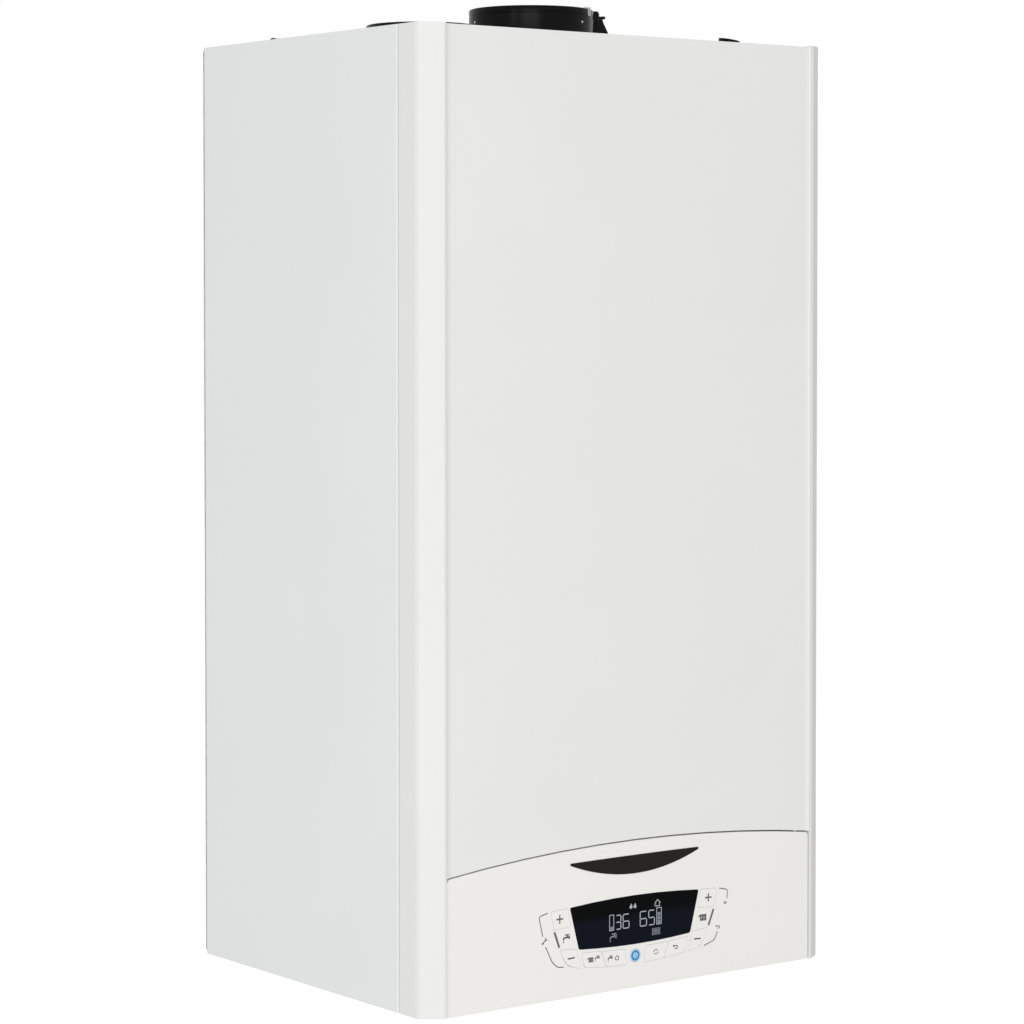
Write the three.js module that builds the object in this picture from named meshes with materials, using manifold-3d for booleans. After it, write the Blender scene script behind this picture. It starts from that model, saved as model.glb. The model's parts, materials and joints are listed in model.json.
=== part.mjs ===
// Wall-hung combi boiler with a fold-down control panel, in millimetres, +Z up.
// The wall is the plane y = 0 and the front faces -Y. The origin lies on the wall, on the hanging line.
// Inside the boiler group, heights are measured from the casing's lower edge.
import * as THREE from 'three';
import { mergeVertices } from 'three/addons/utils/BufferGeometryUtils.js';
import Module from 'manifold-3d';

const wasm = await Module();
wasm.setup();

// ------------------------------------------------------------------ driving dimensions
// Casing
const CASE_WIDTH = 400;
const CASE_DEPTH = 319;
const CASE_HEIGHT = 745;
const HANG_DROP = 45; // hanging line below the casing's top edge
const SHEET = 1.2; // steel sheet
const FIT = 0.3; // clearance between pieces that seat on each other
const PASS = 0.5; // clearance round what passes through a hole
const FOLD_RADIUS = 2.5;

// Front casing
const FRONT_WRAP = 36; // how far it reaches back round the sides
const SHADOW_GAP = 1.5; // between the front casing and the side panels
const CHAMFER_WIDTH = 16;
const CHAMFER_DEPTH = 11.2;
const RIDGE_WIDTH = 2;
const TRIM_WALL = 1.4;
const TRIM_RETURN = 9;
const PANEL_RECESS = 1.3; // front panel behind the ridges of the corner trims
const PANEL_DROP = 1; // front panel below the tops of the corner trims
const RAMP_WIDTH = 5; // hollow ramp from the panel up to each ridge
const PANEL_RETURN = 17;
const HEM_DEPTH = 9;
const ARCH_EDGE = 104; // height of the arch at the corner trims
const ARCH_RISE = 11.7;
const ARCH_GAP = 1.2;
const HOOK_WIDTH = 60; // tongues that hook over the frame's front edge
const HOOK_OFFSET = 110;

// Control panel
const FASCIA_WALL = 2.5;
const FASCIA_RIM = 5;
const FASCIA_GAP = 1; // to the corner trims
const PIVOT_HEIGHT = 10;
const PIVOT_DEPTH = 10.7; // behind the fascia's face
const PIN_RADIUS = 2.5;
const EAR_RADIUS = 7;
const EAR_WALL = 3;
const HOUSING_MARGIN = 16; // from the fascia's sides
const HOUSING_FLOOR = 6;
const HOUSING_DROP = 13; // top of the housing below the arch's ends
const HOUSING_DEPTH = 52;
const HOUSING_WALL = 2;
const BOARD_DEPTH = 12.7; // face of the main board behind the fascia's face
const BOARD_WALL = 1.6;
const PROUD = 0.2; // keys and lens in front of the fascia's face
const LENS_WALL = 2.5;
const KEY_CAP = 3.5;
const KEY_GAP = 0.4;
const KEY_STEM_RADIUS = 2.5;
const KEY_TRAVEL = 1;
const POWER_KEY_RADIUS = 5.2;
const BADGE_WALL = 1.2;
const BADGE_PROUD = 0.3;
// Outlines on the fascia: x from the middle, heights from the casing's lower edge
const LENS_TOP = { half: 64.5, height: 69.7, crown: 2.8 };
const LENS_FOOT = { half: 55.7, height: 36.7, crown: -2.3 };
const BADGE_HALF = 64.2;
const BADGE_DROP = 12.5; // tips of the badge below the arch's crown
const BADGE_TIP = 1;
const BADGE_CROWN = 1.9;
const BADGE_BELLY = 11.8;
const STEP_UP_KEY = [[67, 69.7], [83, 68.9], [80, 54.7], [64, 55.6]];
const STEP_DOWN_KEY = [[59, 37.2], [74, 38.2], [68, 24.8, 7], [54, 22]];
const EDGE_KEY = [[34.2, 32.2], [53, 33.6], [50.8, 22, 3], [29.6, 19.9]];
const MIDDLE_KEY = [[11, 31.4], [33, 32.1], [28.4, 19.8], [9, 18.9]];
const POWER_KEY_PLACE = [0, 25.2];

// Frame
const RAIL_WALL = 3;
const SLOT_WIDTH = 40;
const SLOT_HEIGHT = 12;
const SLOT_OFFSET = 130;
const POST_SIZE = 14;
const TRAY_FLANGE = 12;

// Flue and what stands on the top plate
const FLUE_SETBACK = 137; // behind the casing's face
const COLLAR_RADIUS = 50;
const COLLAR_WALL = 3.5;
const COLLAR_RISE = 33;
const COLLAR_FLANGE = 58;
const FLUE_RADIUS = 30.5;
const FLUE_WALL = 1.5;
const CAP_RADIUS = 44;
const CAP_RISE = 10;
const CAP_OFFSET = 108;
const PLUG_RADIUS = 9;
const PLUG_RISE = 11;
const PLUG_INSET = 42; // from the casing's side
const PLUG_SETBACK = 39; // behind the front casing
const BOSS_REACH = 14; // test boss beyond the collar
const BOSS_RADIUS = 9;
const TEST_CAP_RADIUS = 5.5;

// Sealed chamber
const CHAMBER_MARGIN = 17; // from the casing's sides
const CHAMBER_DROP = 13; // below the casing's top
const CHAMBER_SHARE = 0.64; // of the casing's height
const CHAMBER_FROM_WALL = 85;
const CHAMBER_FLANGE = 8;
const SEAL_WALL = 1.5;
const COVER_RELIEF = 4;

// Burner side
const PIPE_SPACE = 71; // beside the drum, for the heating pipes
const DRUM_WALL = 14;
const DRUM_BACK = 10; // thickness of the drum's rear
const DRUM_SETBACK = 15; // in front of the chamber's rear
const DRUM_SHARE = 0.36; // drum axis below the chamber's top, of its height
const DOOR_LAP = 6; // of the door over the drum's bore
const DOOR_SPACE = 10.7; // in front of the door's elbow
const BURNER_RADIUS = 30;
const BURNER_SPACE = 25; // behind the burner
const FAN_OFFSET = 50;
const FAN_DEPTH = 40;
const FAN_SPACE = 50; // in front of the fan
const SCROLL_SHARE = 0.178; // widest radius of the scroll, of the chamber's height
const SCROLL_GROWTH = 25;
const OUTLET_WIDTH = 45;
const WHEEL_CLEARANCE = 8;
const WHEEL_BLADES = 9;
const MOTOR_RADIUS = 36;
const SHAFT_RADIUS = 3;
const DOOR_WALL = 10;
const ELBOW_DEPTH = 14;
const MOUTH_RADIUS = 31; // mouth of the fan's cover
const MOUTH_DEPTH = 6;
const VALVE_OUTLET = 9;
const BOSS_END = 60; // gas boss of the mixer, from the fan's axis
const ELECTRODE_REACH = 50;
const ELECTRODE_ANGLE = 2.2;
const DRAIN_X = -60;
const DRAIN_Y = -170;
const DRAIN_RADIUS = 8;
const RETURN_PORT_DROP = 45;
const GAS_PIPE_RADIUS = 8;
const GAS_VALVE_INSET = 78; // from the chamber's side

// Water side
const TAILS_FROM_WALL = 140;
const TAIL_SHARE = 0.1625; // distance between tails, of the casing's width
const TAIL_DROP = 32;
const HEATING_TAIL = 11;
const WATER_TAIL = 8;
const TAIL_WALL = 1.5;
const BLOCK_HEIGHT = 75;
const BLOCK_RADIUS = 16;
const WATER_PIPE_RADIUS = 9;
const VESSEL_MARGIN = 20; // from the casing's sides
const VESSEL_DEPTH = 72;
const VESSEL_WALL = 2;
const PLATE_COUNT = 7;
const PLATES_SPACE = 27.9; // in front of the plate exchanger
const PUMP_RADIUS = 42;
const ROTOR_RADIUS = 30;
const ROTOR_EYE = 14;
const ROTOR_BLADES = 6;
const PUMP_INSET = 12; // inside the return tail
const PUMP_HEIGHT = 150;
const PUMP_RISE = 55; // outlet above the pump's axis
const SPINDLE_TRAVEL = 8;
const DIVERTER_RISE = 55; // flow socket above the blocks
const RISER_INSET = 33; // heating pipes from the chamber's sides
const VESSEL_PIPE_OFFSET = 30; // outside the cold water tail
const VESSEL_PIPE_RADIUS = 6;
const VENT_RISE = 18; // foot of the air vent above the flow pipe
const NUT_DEPTH = 15;
const RELIEF_INSET = 28; // from the casing's side
const RELIEF_RADIUS = 7.5;
const RELIEF_HEIGHT = 50;
const TRAP_RADIUS = 18;
const TRAP_INSET = 31; // from the casing's side
const TRAP_SPACE = 9.9; // in front of the trap
const TRAP_OUTLET = 10.7;
const OUTLET_DROP = 22; // relief and condensate outlets below the casing

// Facets
const FINE = 24;
const SIDES = 12;
const COARSE = 8;
const PIPE_SIDES = 8;
const FOLD_STEPS = 2;
const BLADE_STEPS = 2;

// ------------------------------------------------------------------ places that follow from them
const TOP = CASE_HEIGHT;
const HALF_WIDTH = CASE_WIDTH / 2;
const FRONT = -CASE_DEPTH;
const CASING_REAR = FRONT + FRONT_WRAP;
const FRAME_FRONT = CASING_REAR + SHADOW_GAP;
const RIDGE_INNER = HALF_WIDTH - CHAMFER_WIDTH - RIDGE_WIDTH;
const PANEL_HALF = RIDGE_INNER - FIT;
const PANEL_FACE = FRONT + PANEL_RECESS;
const PANEL_TOP = TOP - PANEL_DROP;
const ARCH_RADIUS = (RIDGE_INNER ** 2 + ARCH_RISE ** 2) / (2 * ARCH_RISE);
const FASCIA_HALF = RIDGE_INNER - FASCIA_GAP;
const HOUSING_WIDTH = 2 * (FASCIA_HALF - HOUSING_MARGIN);
const HOUSING_TOP = ARCH_EDGE - HOUSING_DROP;
const HOUSING_REAR = PANEL_FACE + FASCIA_WALL + FIT + HOUSING_DEPTH;
const BADGE_HEIGHT = ARCH_EDGE + ARCH_RISE - BADGE_DROP;
const BADGE_TOP = { half: BADGE_HALF, height: BADGE_HEIGHT + BADGE_TIP, crown: BADGE_CROWN };
const BADGE_FOOT = { half: BADGE_HALF, height: BADGE_HEIGHT - BADGE_TIP, crown: -BADGE_BELLY };
const FRAME_REAR = -SHEET - FIT;
const TRAY_HALF = HALF_WIDTH - SHEET - FIT;
const TRAY_REAR = FRAME_REAR - SHEET - FIT;
const TRAY_FRONT = FRAME_FRONT + SHEET + FIT;
const FLUE_FROM_WALL = CASE_DEPTH - FLUE_SETBACK;
const CHAMBER_HEIGHT = CHAMBER_SHARE * CASE_HEIGHT;
const CHAMBER_TOP = TOP - CHAMBER_DROP;
const CHAMBER_FLOOR = CHAMBER_TOP - CHAMBER_HEIGHT;
const CHAMBER_HALF = HALF_WIDTH - CHAMBER_MARGIN;
const CHAMBER_REAR = -CHAMBER_FROM_WALL;
const CHAMBER_FRONT = FRAME_FRONT + 11.5;
const DRUM_RADIUS = CHAMBER_HALF - PIPE_SPACE;
const DRUM_BORE = DRUM_RADIUS - DRUM_WALL;
const DRUM_HEIGHT = CHAMBER_TOP - DRUM_SHARE * CHAMBER_HEIGHT;
const DRUM_REAR = CHAMBER_REAR - DRUM_SETBACK;
const DRUM_FRONT = CHAMBER_FRONT + DOOR_SPACE + ELBOW_DEPTH + DOOR_WALL + FIT;
const VESSEL_RADIUS = HALF_WIDTH - VESSEL_MARGIN;
const VESSEL_HEIGHT = DRUM_HEIGHT - 45;
const VESSEL_REAR = TRAY_REAR - 1.5;
const PLUG_X = HALF_WIDTH - PLUG_INSET;
const PLUG_Y = CASING_REAR + PLUG_SETBACK;
const TEST_CAP_X = COLLAR_RADIUS + TEST_CAP_RADIUS;
const DOOR_RADIUS = DRUM_BORE + DOOR_LAP;
const DOOR_REAR = DRUM_FRONT - FIT;
const DOOR_FACE = DOOR_REAR - DOOR_WALL;
const ELBOW_FACE = DOOR_FACE - ELBOW_DEPTH;
const FAN_FRONT = CHAMBER_FRONT + FAN_SPACE;
const FAN_REAR = FAN_FRONT + FAN_DEPTH;
const SCROLL_END = SCROLL_SHARE * CHAMBER_HEIGHT;
const SCROLL_START = SCROLL_END - SCROLL_GROWTH;
const WHEEL_RADIUS = SCROLL_START - WHEEL_CLEARANCE;
const OUTLET_RISE = SCROLL_END + 5;
const FAN_DROP = DRUM_RADIUS + OUTLET_RISE + 8;
const MIXER_REAR = FAN_FRONT - MOUTH_DEPTH - 2 * FIT;
const GAS_LINE_Y = MIXER_REAR - 16;
const GAS_VALVE_X = GAS_VALVE_INSET - CHAMBER_HALF;
const GAS_VALVE_Y = GAS_LINE_Y + 2.6;
const SPIGOT_FOOT = DRUM_RADIUS + 4;
const SPIGOT_TOP = DRUM_RADIUS + 18;
const PORT_REACH = DRUM_RADIUS + 13;
const FLOW_PIPE_X = RISER_INSET - CHAMBER_HALF;
const RETURN_PIPE_X = -FLOW_PIPE_X;
const TAIL_PITCH = TAIL_SHARE * CASE_WIDTH;
const DIVERTER_X = -2 * TAIL_PITCH;
const DIVERTER_TOP = BLOCK_HEIGHT + DIVERTER_RISE;
const DIVERTER_FACE = -TAILS_FROM_WALL - 24;
const PLATES_REAR = -TAILS_FROM_WALL - 32;
const PLATE_PITCH = (PLATES_REAR - HOUSING_REAR - PLATES_SPACE) / PLATE_COUNT;
const PUMP_X = 2 * TAIL_PITCH - PUMP_INSET;
const PUMP_FOOT = PUMP_HEIGHT - PUMP_RADIUS - 2;
const PUMP_REAR = -TAILS_FROM_WALL + 32;
const PUMP_FACE = -TAILS_FROM_WALL - 22;
const PUMP_OUTLET = PUMP_HEIGHT + PUMP_RISE;
const SOCKET_DEPTH = 12;
const VESSEL_PIPE_X = TAIL_PITCH + VESSEL_PIPE_OFFSET;
const VESSEL_MIDDLE = VESSEL_REAR - VESSEL_DEPTH / 2;
const VESSEL_PORT_HEIGHT = VESSEL_HEIGHT - VESSEL_RADIUS + 5;
const VESSEL_PORT_Y = -TAILS_FROM_WALL + BLOCK_RADIUS + 8;
const RELIEF_X = HALF_WIDTH - RELIEF_INSET;
const RELIEF_FACE = -TAILS_FROM_WALL - 34;
const TRAP_X = TRAP_INSET - HALF_WIDTH;
const TRAP_Y = HOUSING_REAR + TRAP_SPACE + TRAP_RADIUS;

// ------------------------------------------------------------------ finishes
const FINISHES = {
  sidePaint: { color: 0xe0e3e2, roughness: 0.42, metalness: 0 },
  trimPaint: { color: 0xefefee, roughness: 0.4, metalness: 0 },
  panelPaint: { color: 0xe5e5e2, roughness: 0.42, metalness: 0 },
  fasciaPlastic: { color: 0xebeae6, roughness: 0.5, metalness: 0 },
  keyPlastic: { color: 0xe6e5e1, roughness: 0.5, metalness: 0 },
  powerKey: { color: 0x2f74c8, roughness: 0.4, metalness: 0 },
  blackGloss: { color: 0x141519, roughness: 0.12, metalness: 0 },
  darkPlastic: { color: 0x26282b, roughness: 0.5, metalness: 0 },
  greyPlastic: { color: 0x8d9296, roughness: 0.55, metalness: 0 },
  circuitGreen: { color: 0x1f5a3a, roughness: 0.5, metalness: 0.1 },
  rubber: { color: 0x1b1b1c, roughness: 0.85, metalness: 0 },
  zincSheet: { color: 0xb9bdc0, roughness: 0.38, metalness: 0.9 },
  castAluminium: { color: 0xa9adb0, roughness: 0.5, metalness: 0.9 },
  stainless: { color: 0xbfc1c2, roughness: 0.28, metalness: 1 },
  brass: { color: 0xc39b4a, roughness: 0.35, metalness: 1 },
  copper: { color: 0xb87048, roughness: 0.32, metalness: 1 },
  vesselRed: { color: 0xa3262a, roughness: 0.45, metalness: 0 },
  ceramic: { color: 0xefeae0, roughness: 0.4, metalness: 0 },
};

// ------------------------------------------------------------------ solids
// Turns a closed three.js geometry into a solid that can be joined and cut
function toSolid(geometry) {
  geometry.deleteAttribute('normal');
  geometry.deleteAttribute('uv');
  const welded = mergeVertices(geometry);
  const corners = welded.index.array;
  const kept = [];
  for (let i = 0; i < corners.length; i += 3) {
    const [a, b, c] = [corners[i], corners[i + 1], corners[i + 2]];
    if (a !== b && b !== c && c !== a) {
      kept.push(a, b, c);
    }
  }
  const positions = Float32Array.from(welded.attributes.position.array);
  const triangles = Uint32Array.from(kept);
  return new wasm.Manifold(new wasm.Mesh({ numProp: 3, vertProperties: positions, triVerts: triangles }));
}

function join(...solids) {
  return solids.reduce((whole, solid) => whole.add(solid));
}

function cut(solid, ...tools) {
  return tools.reduce((rest, tool) => rest.subtract(tool), solid);
}

// A named piece with its own finish, placed in its group
function piece(name, solid, finish, place = [0, 0, 0], turn = [0, 0, 0]) {
  const { vertProperties, triVerts } = solid.getMesh();
  const geometry = new THREE.BufferGeometry();
  geometry.setAttribute('position', new THREE.BufferAttribute(vertProperties, 3));
  geometry.setIndex(new THREE.BufferAttribute(triVerts, 1));
  geometry.computeVertexNormals();
  const mesh = new THREE.Mesh(geometry, new THREE.MeshStandardMaterial(finish));
  mesh.name = name;
  mesh.position.set(...place);
  mesh.rotation.set(...turn);
  return mesh;
}

function assembly(place, ...members) {
  const group = new THREE.Group();
  group.position.set(...place);
  group.add(...members);
  return group;
}

// A point short of a corner, on the way to its neighbour
function nearCorner(corner, neighbour, distance) {
  const [x, y] = corner;
  const reach = Math.hypot(neighbour[0] - x, neighbour[1] - y);
  const share = Math.min(distance, reach / 2) / reach;
  return [x + (neighbour[0] - x) * share, y + (neighbour[1] - y) * share];
}

// Draws one corner of an outline, rounded by its own radius or the common one
function roundCorner(path, before, corner, after, radius) {
  const bend = corner[2] ?? radius;
  if (bend === 0) {
    path.lineTo(corner[0], corner[1]);
    return;
  }
  path.lineTo(...nearCorner(corner, before, bend));
  path.quadraticCurveTo(corner[0], corner[1], ...nearCorner(corner, after, bend));
}

// A closed outline with rounded corners
function outline(corners, radius = 0) {
  const count = corners.length;
  const shape = new THREE.Shape();
  const last = corners[count - 1];
  const first = corners[0];
  shape.moveTo((first[0] + last[0]) / 2, (first[1] + last[1]) / 2);
  corners.forEach((corner, i) => {
    roundCorner(shape, corners[(i + count - 1) % count], corner, corners[(i + 1) % count], radius);
  });
  shape.closePath();
  return shape;
}

function rectangle(left, right, low, high, radius = 0) {
  return outline([[left, low], [right, low], [right, high], [left, high]], radius);
}

function disc(radius, x = 0, y = 0) {
  return new THREE.Shape().absarc(x, y, radius, 0, 2 * Math.PI);
}

// A hexagon across its flats
function nutOutline(acrossFlats, x, y) {
  const reach = acrossFlats / Math.sqrt(3);
  const corners = Array.from({ length: 6 }, (unused, i) => {
    const angle = (Math.PI / 3) * i;
    return [x + reach * Math.cos(angle), y + reach * Math.sin(angle)];
  });
  return outline(corners);
}

// The points along a folded sheet's outer face, with rounded folds
function foldedPath(corners, radius) {
  const path = new THREE.Path();
  const last = corners.length - 1;
  path.moveTo(corners[0][0], corners[0][1]);
  for (let i = 1; i < last; i += 1) {
    roundCorner(path, corners[i - 1], corners[i], corners[i + 1], radius);
  }
  path.lineTo(corners[last][0], corners[last][1]);
  return path.getPoints(FOLD_STEPS);
}

// A folded sheet's section: its outer face, and its inner face on the right-hand side
function foldedSection(path, thickness) {
  const normals = path.slice(1).map((point, i) => {
    const along = new THREE.Vector2().subVectors(point, path[i]).normalize();
    return new THREE.Vector2(along.y, -along.x);
  });
  const inner = path.map((point, i) => {
    const before = normals[Math.max(i - 1, 0)];
    const after = normals[Math.min(i, normals.length - 1)];
    const mitre = new THREE.Vector2().addVectors(before, after);
    return mitre.multiplyScalar(thickness / (1 + before.dot(after))).add(point);
  });
  return new THREE.Shape([...path, ...inner.reverse()]);
}

function mirrored(points, side) {
  return points.map((point) => new THREE.Vector2(point.x * side, point.y));
}

// Draws an outline out along an axis: X takes an outline in Y and Z, Y takes X and Z, Z takes X and Y
function drawn(axis, shape, from, to, steps = FOLD_STEPS) {
  const low = Math.min(from, to);
  const depth = Math.abs(to - from);
  const geometry = new THREE.ExtrudeGeometry(shape, { depth, bevelEnabled: false, curveSegments: steps });
  geometry.translate(0, 0, low);
  if (axis === 'x') {
    const [x, y, z] = [new THREE.Vector3(1, 0, 0), new THREE.Vector3(0, 1, 0), new THREE.Vector3(0, 0, 1)];
    geometry.applyMatrix4(new THREE.Matrix4().makeBasis(y, z, x));
  } else if (axis === 'y') {
    geometry.translate(0, 0, -2 * low - depth);
    geometry.rotateX(Math.PI / 2);
  }
  return toSolid(geometry);
}

// Turns a profile of radius and distance about an axis; it closes on the axis or on itself
function turned(axis, profile, at = [0, 0, 0], sides = SIDES) {
  const points = profile.map(([radius, along]) => new THREE.Vector2(radius, along));
  const closesOnAxis = points[0].x === 0 && points[points.length - 1].x === 0;
  if (THREE.ShapeUtils.area(points) < 0) {
    points.reverse();
  }
  if (!closesOnAxis) {
    points.push(points[0].clone());
  }
  const geometry = new THREE.LatheGeometry(points, sides);
  if (axis === 'x') {
    geometry.rotateZ(-Math.PI / 2);
  } else if (axis === 'z') {
    geometry.rotateX(Math.PI / 2);
  }
  return toSolid(geometry.translate(...at));
}

function rod(axis, radius, from, to, at, sides = SIDES) {
  const [low, high] = [Math.min(from, to), Math.max(from, to)];
  return turned(axis, [[0, low], [radius, low], [radius, high], [0, high]], at, sides);
}

function ring(axis, outer, inner, from, to, at, sides = SIDES) {
  const [low, high] = [Math.min(from, to), Math.max(from, to)];
  return turned(axis, [[inner, low], [outer, low], [outer, high], [inner, high]], at, sides);
}

function box(x0, x1, y0, y1, z0, z1, radius = 0) {
  return drawn('z', rectangle(x0, x1, y0, y1, radius), z0, z1);
}

// A route through listed points, stepped on exactly those points
class Route extends THREE.Curve {
  constructor(points) {
    super();
    this.points = points;
  }

  getPoint(share, target = new THREE.Vector3()) {
    const place = share * (this.points.length - 1);
    const index = Math.min(Math.floor(place), this.points.length - 2);
    return target.lerpVectors(this.points[index], this.points[index + 1], place - index);
  }

  getPointAt(share, target) {
    return this.getPoint(share, target);
  }

  getTangentAt(share, target = new THREE.Vector3()) {
    const last = this.points.length - 1;
    const index = Math.round(share * last);
    const before = new THREE.Vector3();
    const after = new THREE.Vector3();
    if (index > 0) {
      before.subVectors(this.points[index], this.points[index - 1]).normalize();
    }
    if (index < last) {
      after.subVectors(this.points[index + 1], this.points[index]).normalize();
    }
    return target.addVectors(before, after).normalize();
  }
}

// The points of a pipe's route, with each corner bent to a radius
function bentRoute(corners, bend, steps = 3) {
  const spots = corners.map((corner) => new THREE.Vector3(...corner));
  const points = [spots[0]];
  for (let i = 1; i < spots.length - 1; i += 1) {
    const inward = new THREE.Vector3().subVectors(spots[i - 1], spots[i]).setLength(bend).add(spots[i]);
    const outward = new THREE.Vector3().subVectors(spots[i + 1], spots[i]).setLength(bend).add(spots[i]);
    points.push(...new THREE.QuadraticBezierCurve3(inward, spots[i], outward).getPoints(steps));
  }
  points.push(spots[spots.length - 1]);
  return points;
}

function pipe(corners, radius, bend) {
  const points = bentRoute(corners, bend);
  const geometry = new THREE.ExtrudeGeometry(disc(radius), {
    steps: points.length - 1,
    curveSegments: PIPE_SIDES / 2,
    extrudePath: new Route(points),
  });
  return toSolid(geometry);
}

// ------------------------------------------------------------------ front casing
function archHeight(x) {
  return ARCH_EDGE + ARCH_RISE - ARCH_RADIUS + Math.sqrt(ARCH_RADIUS ** 2 - x ** 2);
}

// Points along the arch from right to left
function archPoints(half, lift, count = 10) {
  return Array.from({ length: count + 1 }, (unused, i) => {
    const x = half - (2 * half * i) / count;
    return [x, archHeight(x) + lift];
  });
}

function cornerTrim(side) {
  const ridge = RIDGE_INNER + RIDGE_WIDTH;
  const face = [
    [HALF_WIDTH, CASING_REAR], [HALF_WIDTH, FRONT + CHAMFER_DEPTH, 4],
    [ridge, FRONT], [RIDGE_INNER, FRONT],
  ];
  const edge = [RIDGE_INNER, FRONT + TRIM_RETURN];
  const wall = foldedSection(foldedPath([...face, edge], 0), TRIM_WALL);
  const points = mirrored(wall.getPoints(), side);
  const closed = mirrored(outline([...face, [RIDGE_INNER, CASING_REAR]]).getPoints(FOLD_STEPS), side);
  const end = new THREE.Shape(closed);
  return join(
    drawn('z', new THREE.Shape(points), 0, TOP),
    drawn('z', end, 0, TRIM_WALL),
    drawn('z', end, TOP - TRIM_WALL, TOP),
  );
}

// One edge of the front panel's face: a hollow ramp that rises to the ridge beside it
function rampPoints() {
  const crest = new THREE.Vector2(PANEL_HALF, FRONT + 0.1);
  const foot = new THREE.Vector2(PANEL_HALF - RAMP_WIDTH, PANEL_FACE);
  const bend = new THREE.Vector2(PANEL_HALF - RAMP_WIDTH / 2, PANEL_FACE);
  return new THREE.QuadraticBezierCurve(crest, bend, foot).getPoints(FOLD_STEPS);
}

function frontPanel() {
  const ramp = rampPoints();
  const rightEdge = [new THREE.Vector2(PANEL_HALF, FRONT + PANEL_RETURN), ...ramp];
  const face = [...rightEdge, ...mirrored(rightEdge, -1).reverse()];
  const lowest = ARCH_EDGE - 5;
  const shell = drawn('z', foldedSection(face, SHEET), lowest, PANEL_TOP);
  const rear = [new THREE.Vector2(-PANEL_HALF, CASING_REAR), new THREE.Vector2(PANEL_HALF, CASING_REAR)];
  const lid = new THREE.Shape([...ramp, ...mirrored(ramp, -1).reverse(), ...rear]);
  const lip = box(-PANEL_HALF, PANEL_HALF, CASING_REAR - SHEET, CASING_REAR, PANEL_TOP - 8, PANEL_TOP);
  const below = [[-HALF_WIDTH, 0], [HALF_WIDTH, 0]];
  const archway = outline([...below, ...archPoints(RIDGE_INNER, ARCH_GAP)]);
  const opening = drawn('y', archway, CASING_REAR, FRONT - 5);
  const hemTop = archPoints(PANEL_HALF, ARCH_GAP + SHEET);
  const hemLow = archPoints(PANEL_HALF, ARCH_GAP).reverse();
  const hem = drawn('y', outline([...hemTop, ...hemLow]), PANEL_FACE + SHEET / 2, PANEL_FACE + HEM_DEPTH);
  const tongues = [-1, 1].map((side) => {
    const [x0, x1] = [side * HOOK_OFFSET - HOOK_WIDTH / 2, side * HOOK_OFFSET + HOOK_WIDTH / 2];
    return box(x0, x1, CASING_REAR - SHEET / 2, TRAY_FRONT - FIT, PANEL_TOP - SHEET, PANEL_TOP);
  });
  return join(cut(shell, opening), drawn('z', lid, PANEL_TOP - SHEET, PANEL_TOP), lip, hem, ...tongues);
}

function frontCasing() {
  return assembly(
    [0, 0, 0],
    piece('front_panel', frontPanel(), FINISHES.panelPaint),
    piece('left_corner_trim', cornerTrim(-1), FINISHES.trimPaint),
    piece('right_corner_trim', cornerTrim(1), FINISHES.trimPaint),
  );
}

// ------------------------------------------------------------------ control panel
// Its group stands on the fascia's face: depth runs back along +Y, heights from the casing's lower edge
// Points on a shallow arc across the fascia, from right to left
function arcAcross(arc, count = 6) {
  return Array.from({ length: count + 1 }, (unused, i) => {
    const x = arc.half * (1 - (2 * i) / count);
    return [x, arc.height + arc.crown * (1 - (x / arc.half) ** 2)];
  });
}

// An outline between two arcs, grown all round by a margin
function betweenArcs(upper, lower, margin, tip = 1.5) {
  const top = arcAcross({ ...upper, half: upper.half + margin, height: upper.height + margin });
  const foot = arcAcross({ ...lower, half: lower.half + margin, height: lower.height - margin });
  const corners = [...top, ...foot.reverse()];
  const ends = [0, top.length - 1, top.length, corners.length - 1];
  return outline(corners.map(([x, y], i) => [x, y, ends.includes(i) ? tip : 0]));
}

function badgeOutline(margin) {
  return betweenArcs(BADGE_TOP, BADGE_FOOT, margin, 0.9);
}

function keyOutline(corners, side, margin) {
  const middle = corners.reduce((sum, [x, y]) => [sum[0] + x / 4, sum[1] + y / 4], [0, 0]);
  const grown = corners.map(([x, y, radius]) => {
    const outX = Math.sign(x - middle[0]) * margin;
    const outY = Math.sign(y - middle[1]) * margin;
    return [side * (x + outX), y + outY, radius];
  });
  return outline(grown, 1.2);
}

const KEYS = [
  { name: 'key_hot_water_up', corners: STEP_UP_KEY, side: -1 },
  { name: 'key_hot_water_down', corners: STEP_DOWN_KEY, side: -1 },
  { name: 'key_heating_up', corners: STEP_UP_KEY, side: 1 },
  { name: 'key_heating_down', corners: STEP_DOWN_KEY, side: 1 },
  { name: 'key_mode', corners: EDGE_KEY, side: -1 },
  { name: 'key_comfort', corners: MIDDLE_KEY, side: -1 },
  { name: 'key_auto', corners: MIDDLE_KEY, side: 1 },
  { name: 'key_back', corners: EDGE_KEY, side: 1 },
];

function keyStem(x, height) {
  const end = BOARD_DEPTH - FIT - KEY_TRAVEL;
  return rod('y', KEY_STEM_RADIUS, KEY_CAP - PROUD - 1, end, [x, 0, height], 6);
}

function stepKey({ corners, side }) {
  const cap = drawn('y', keyOutline(corners, side, 0), -PROUD, KEY_CAP - PROUD);
  const x = corners.reduce((sum, corner) => sum + corner[0] / 4, 0) * side;
  const height = corners.reduce((sum, corner) => sum + corner[1] / 4, 0);
  return join(cap, keyStem(x, height));
}

function powerKey() {
  const [x, height] = POWER_KEY_PLACE;
  const back = KEY_CAP - PROUD;
  const radius = POWER_KEY_RADIUS;
  const profile = [[0, back], [radius, back], [radius, 0.3], [radius - 0.5, -PROUD], [0, -PROUD]];
  return join(turned('y', profile, [x, 0, height]), keyStem(x, height));
}

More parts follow.
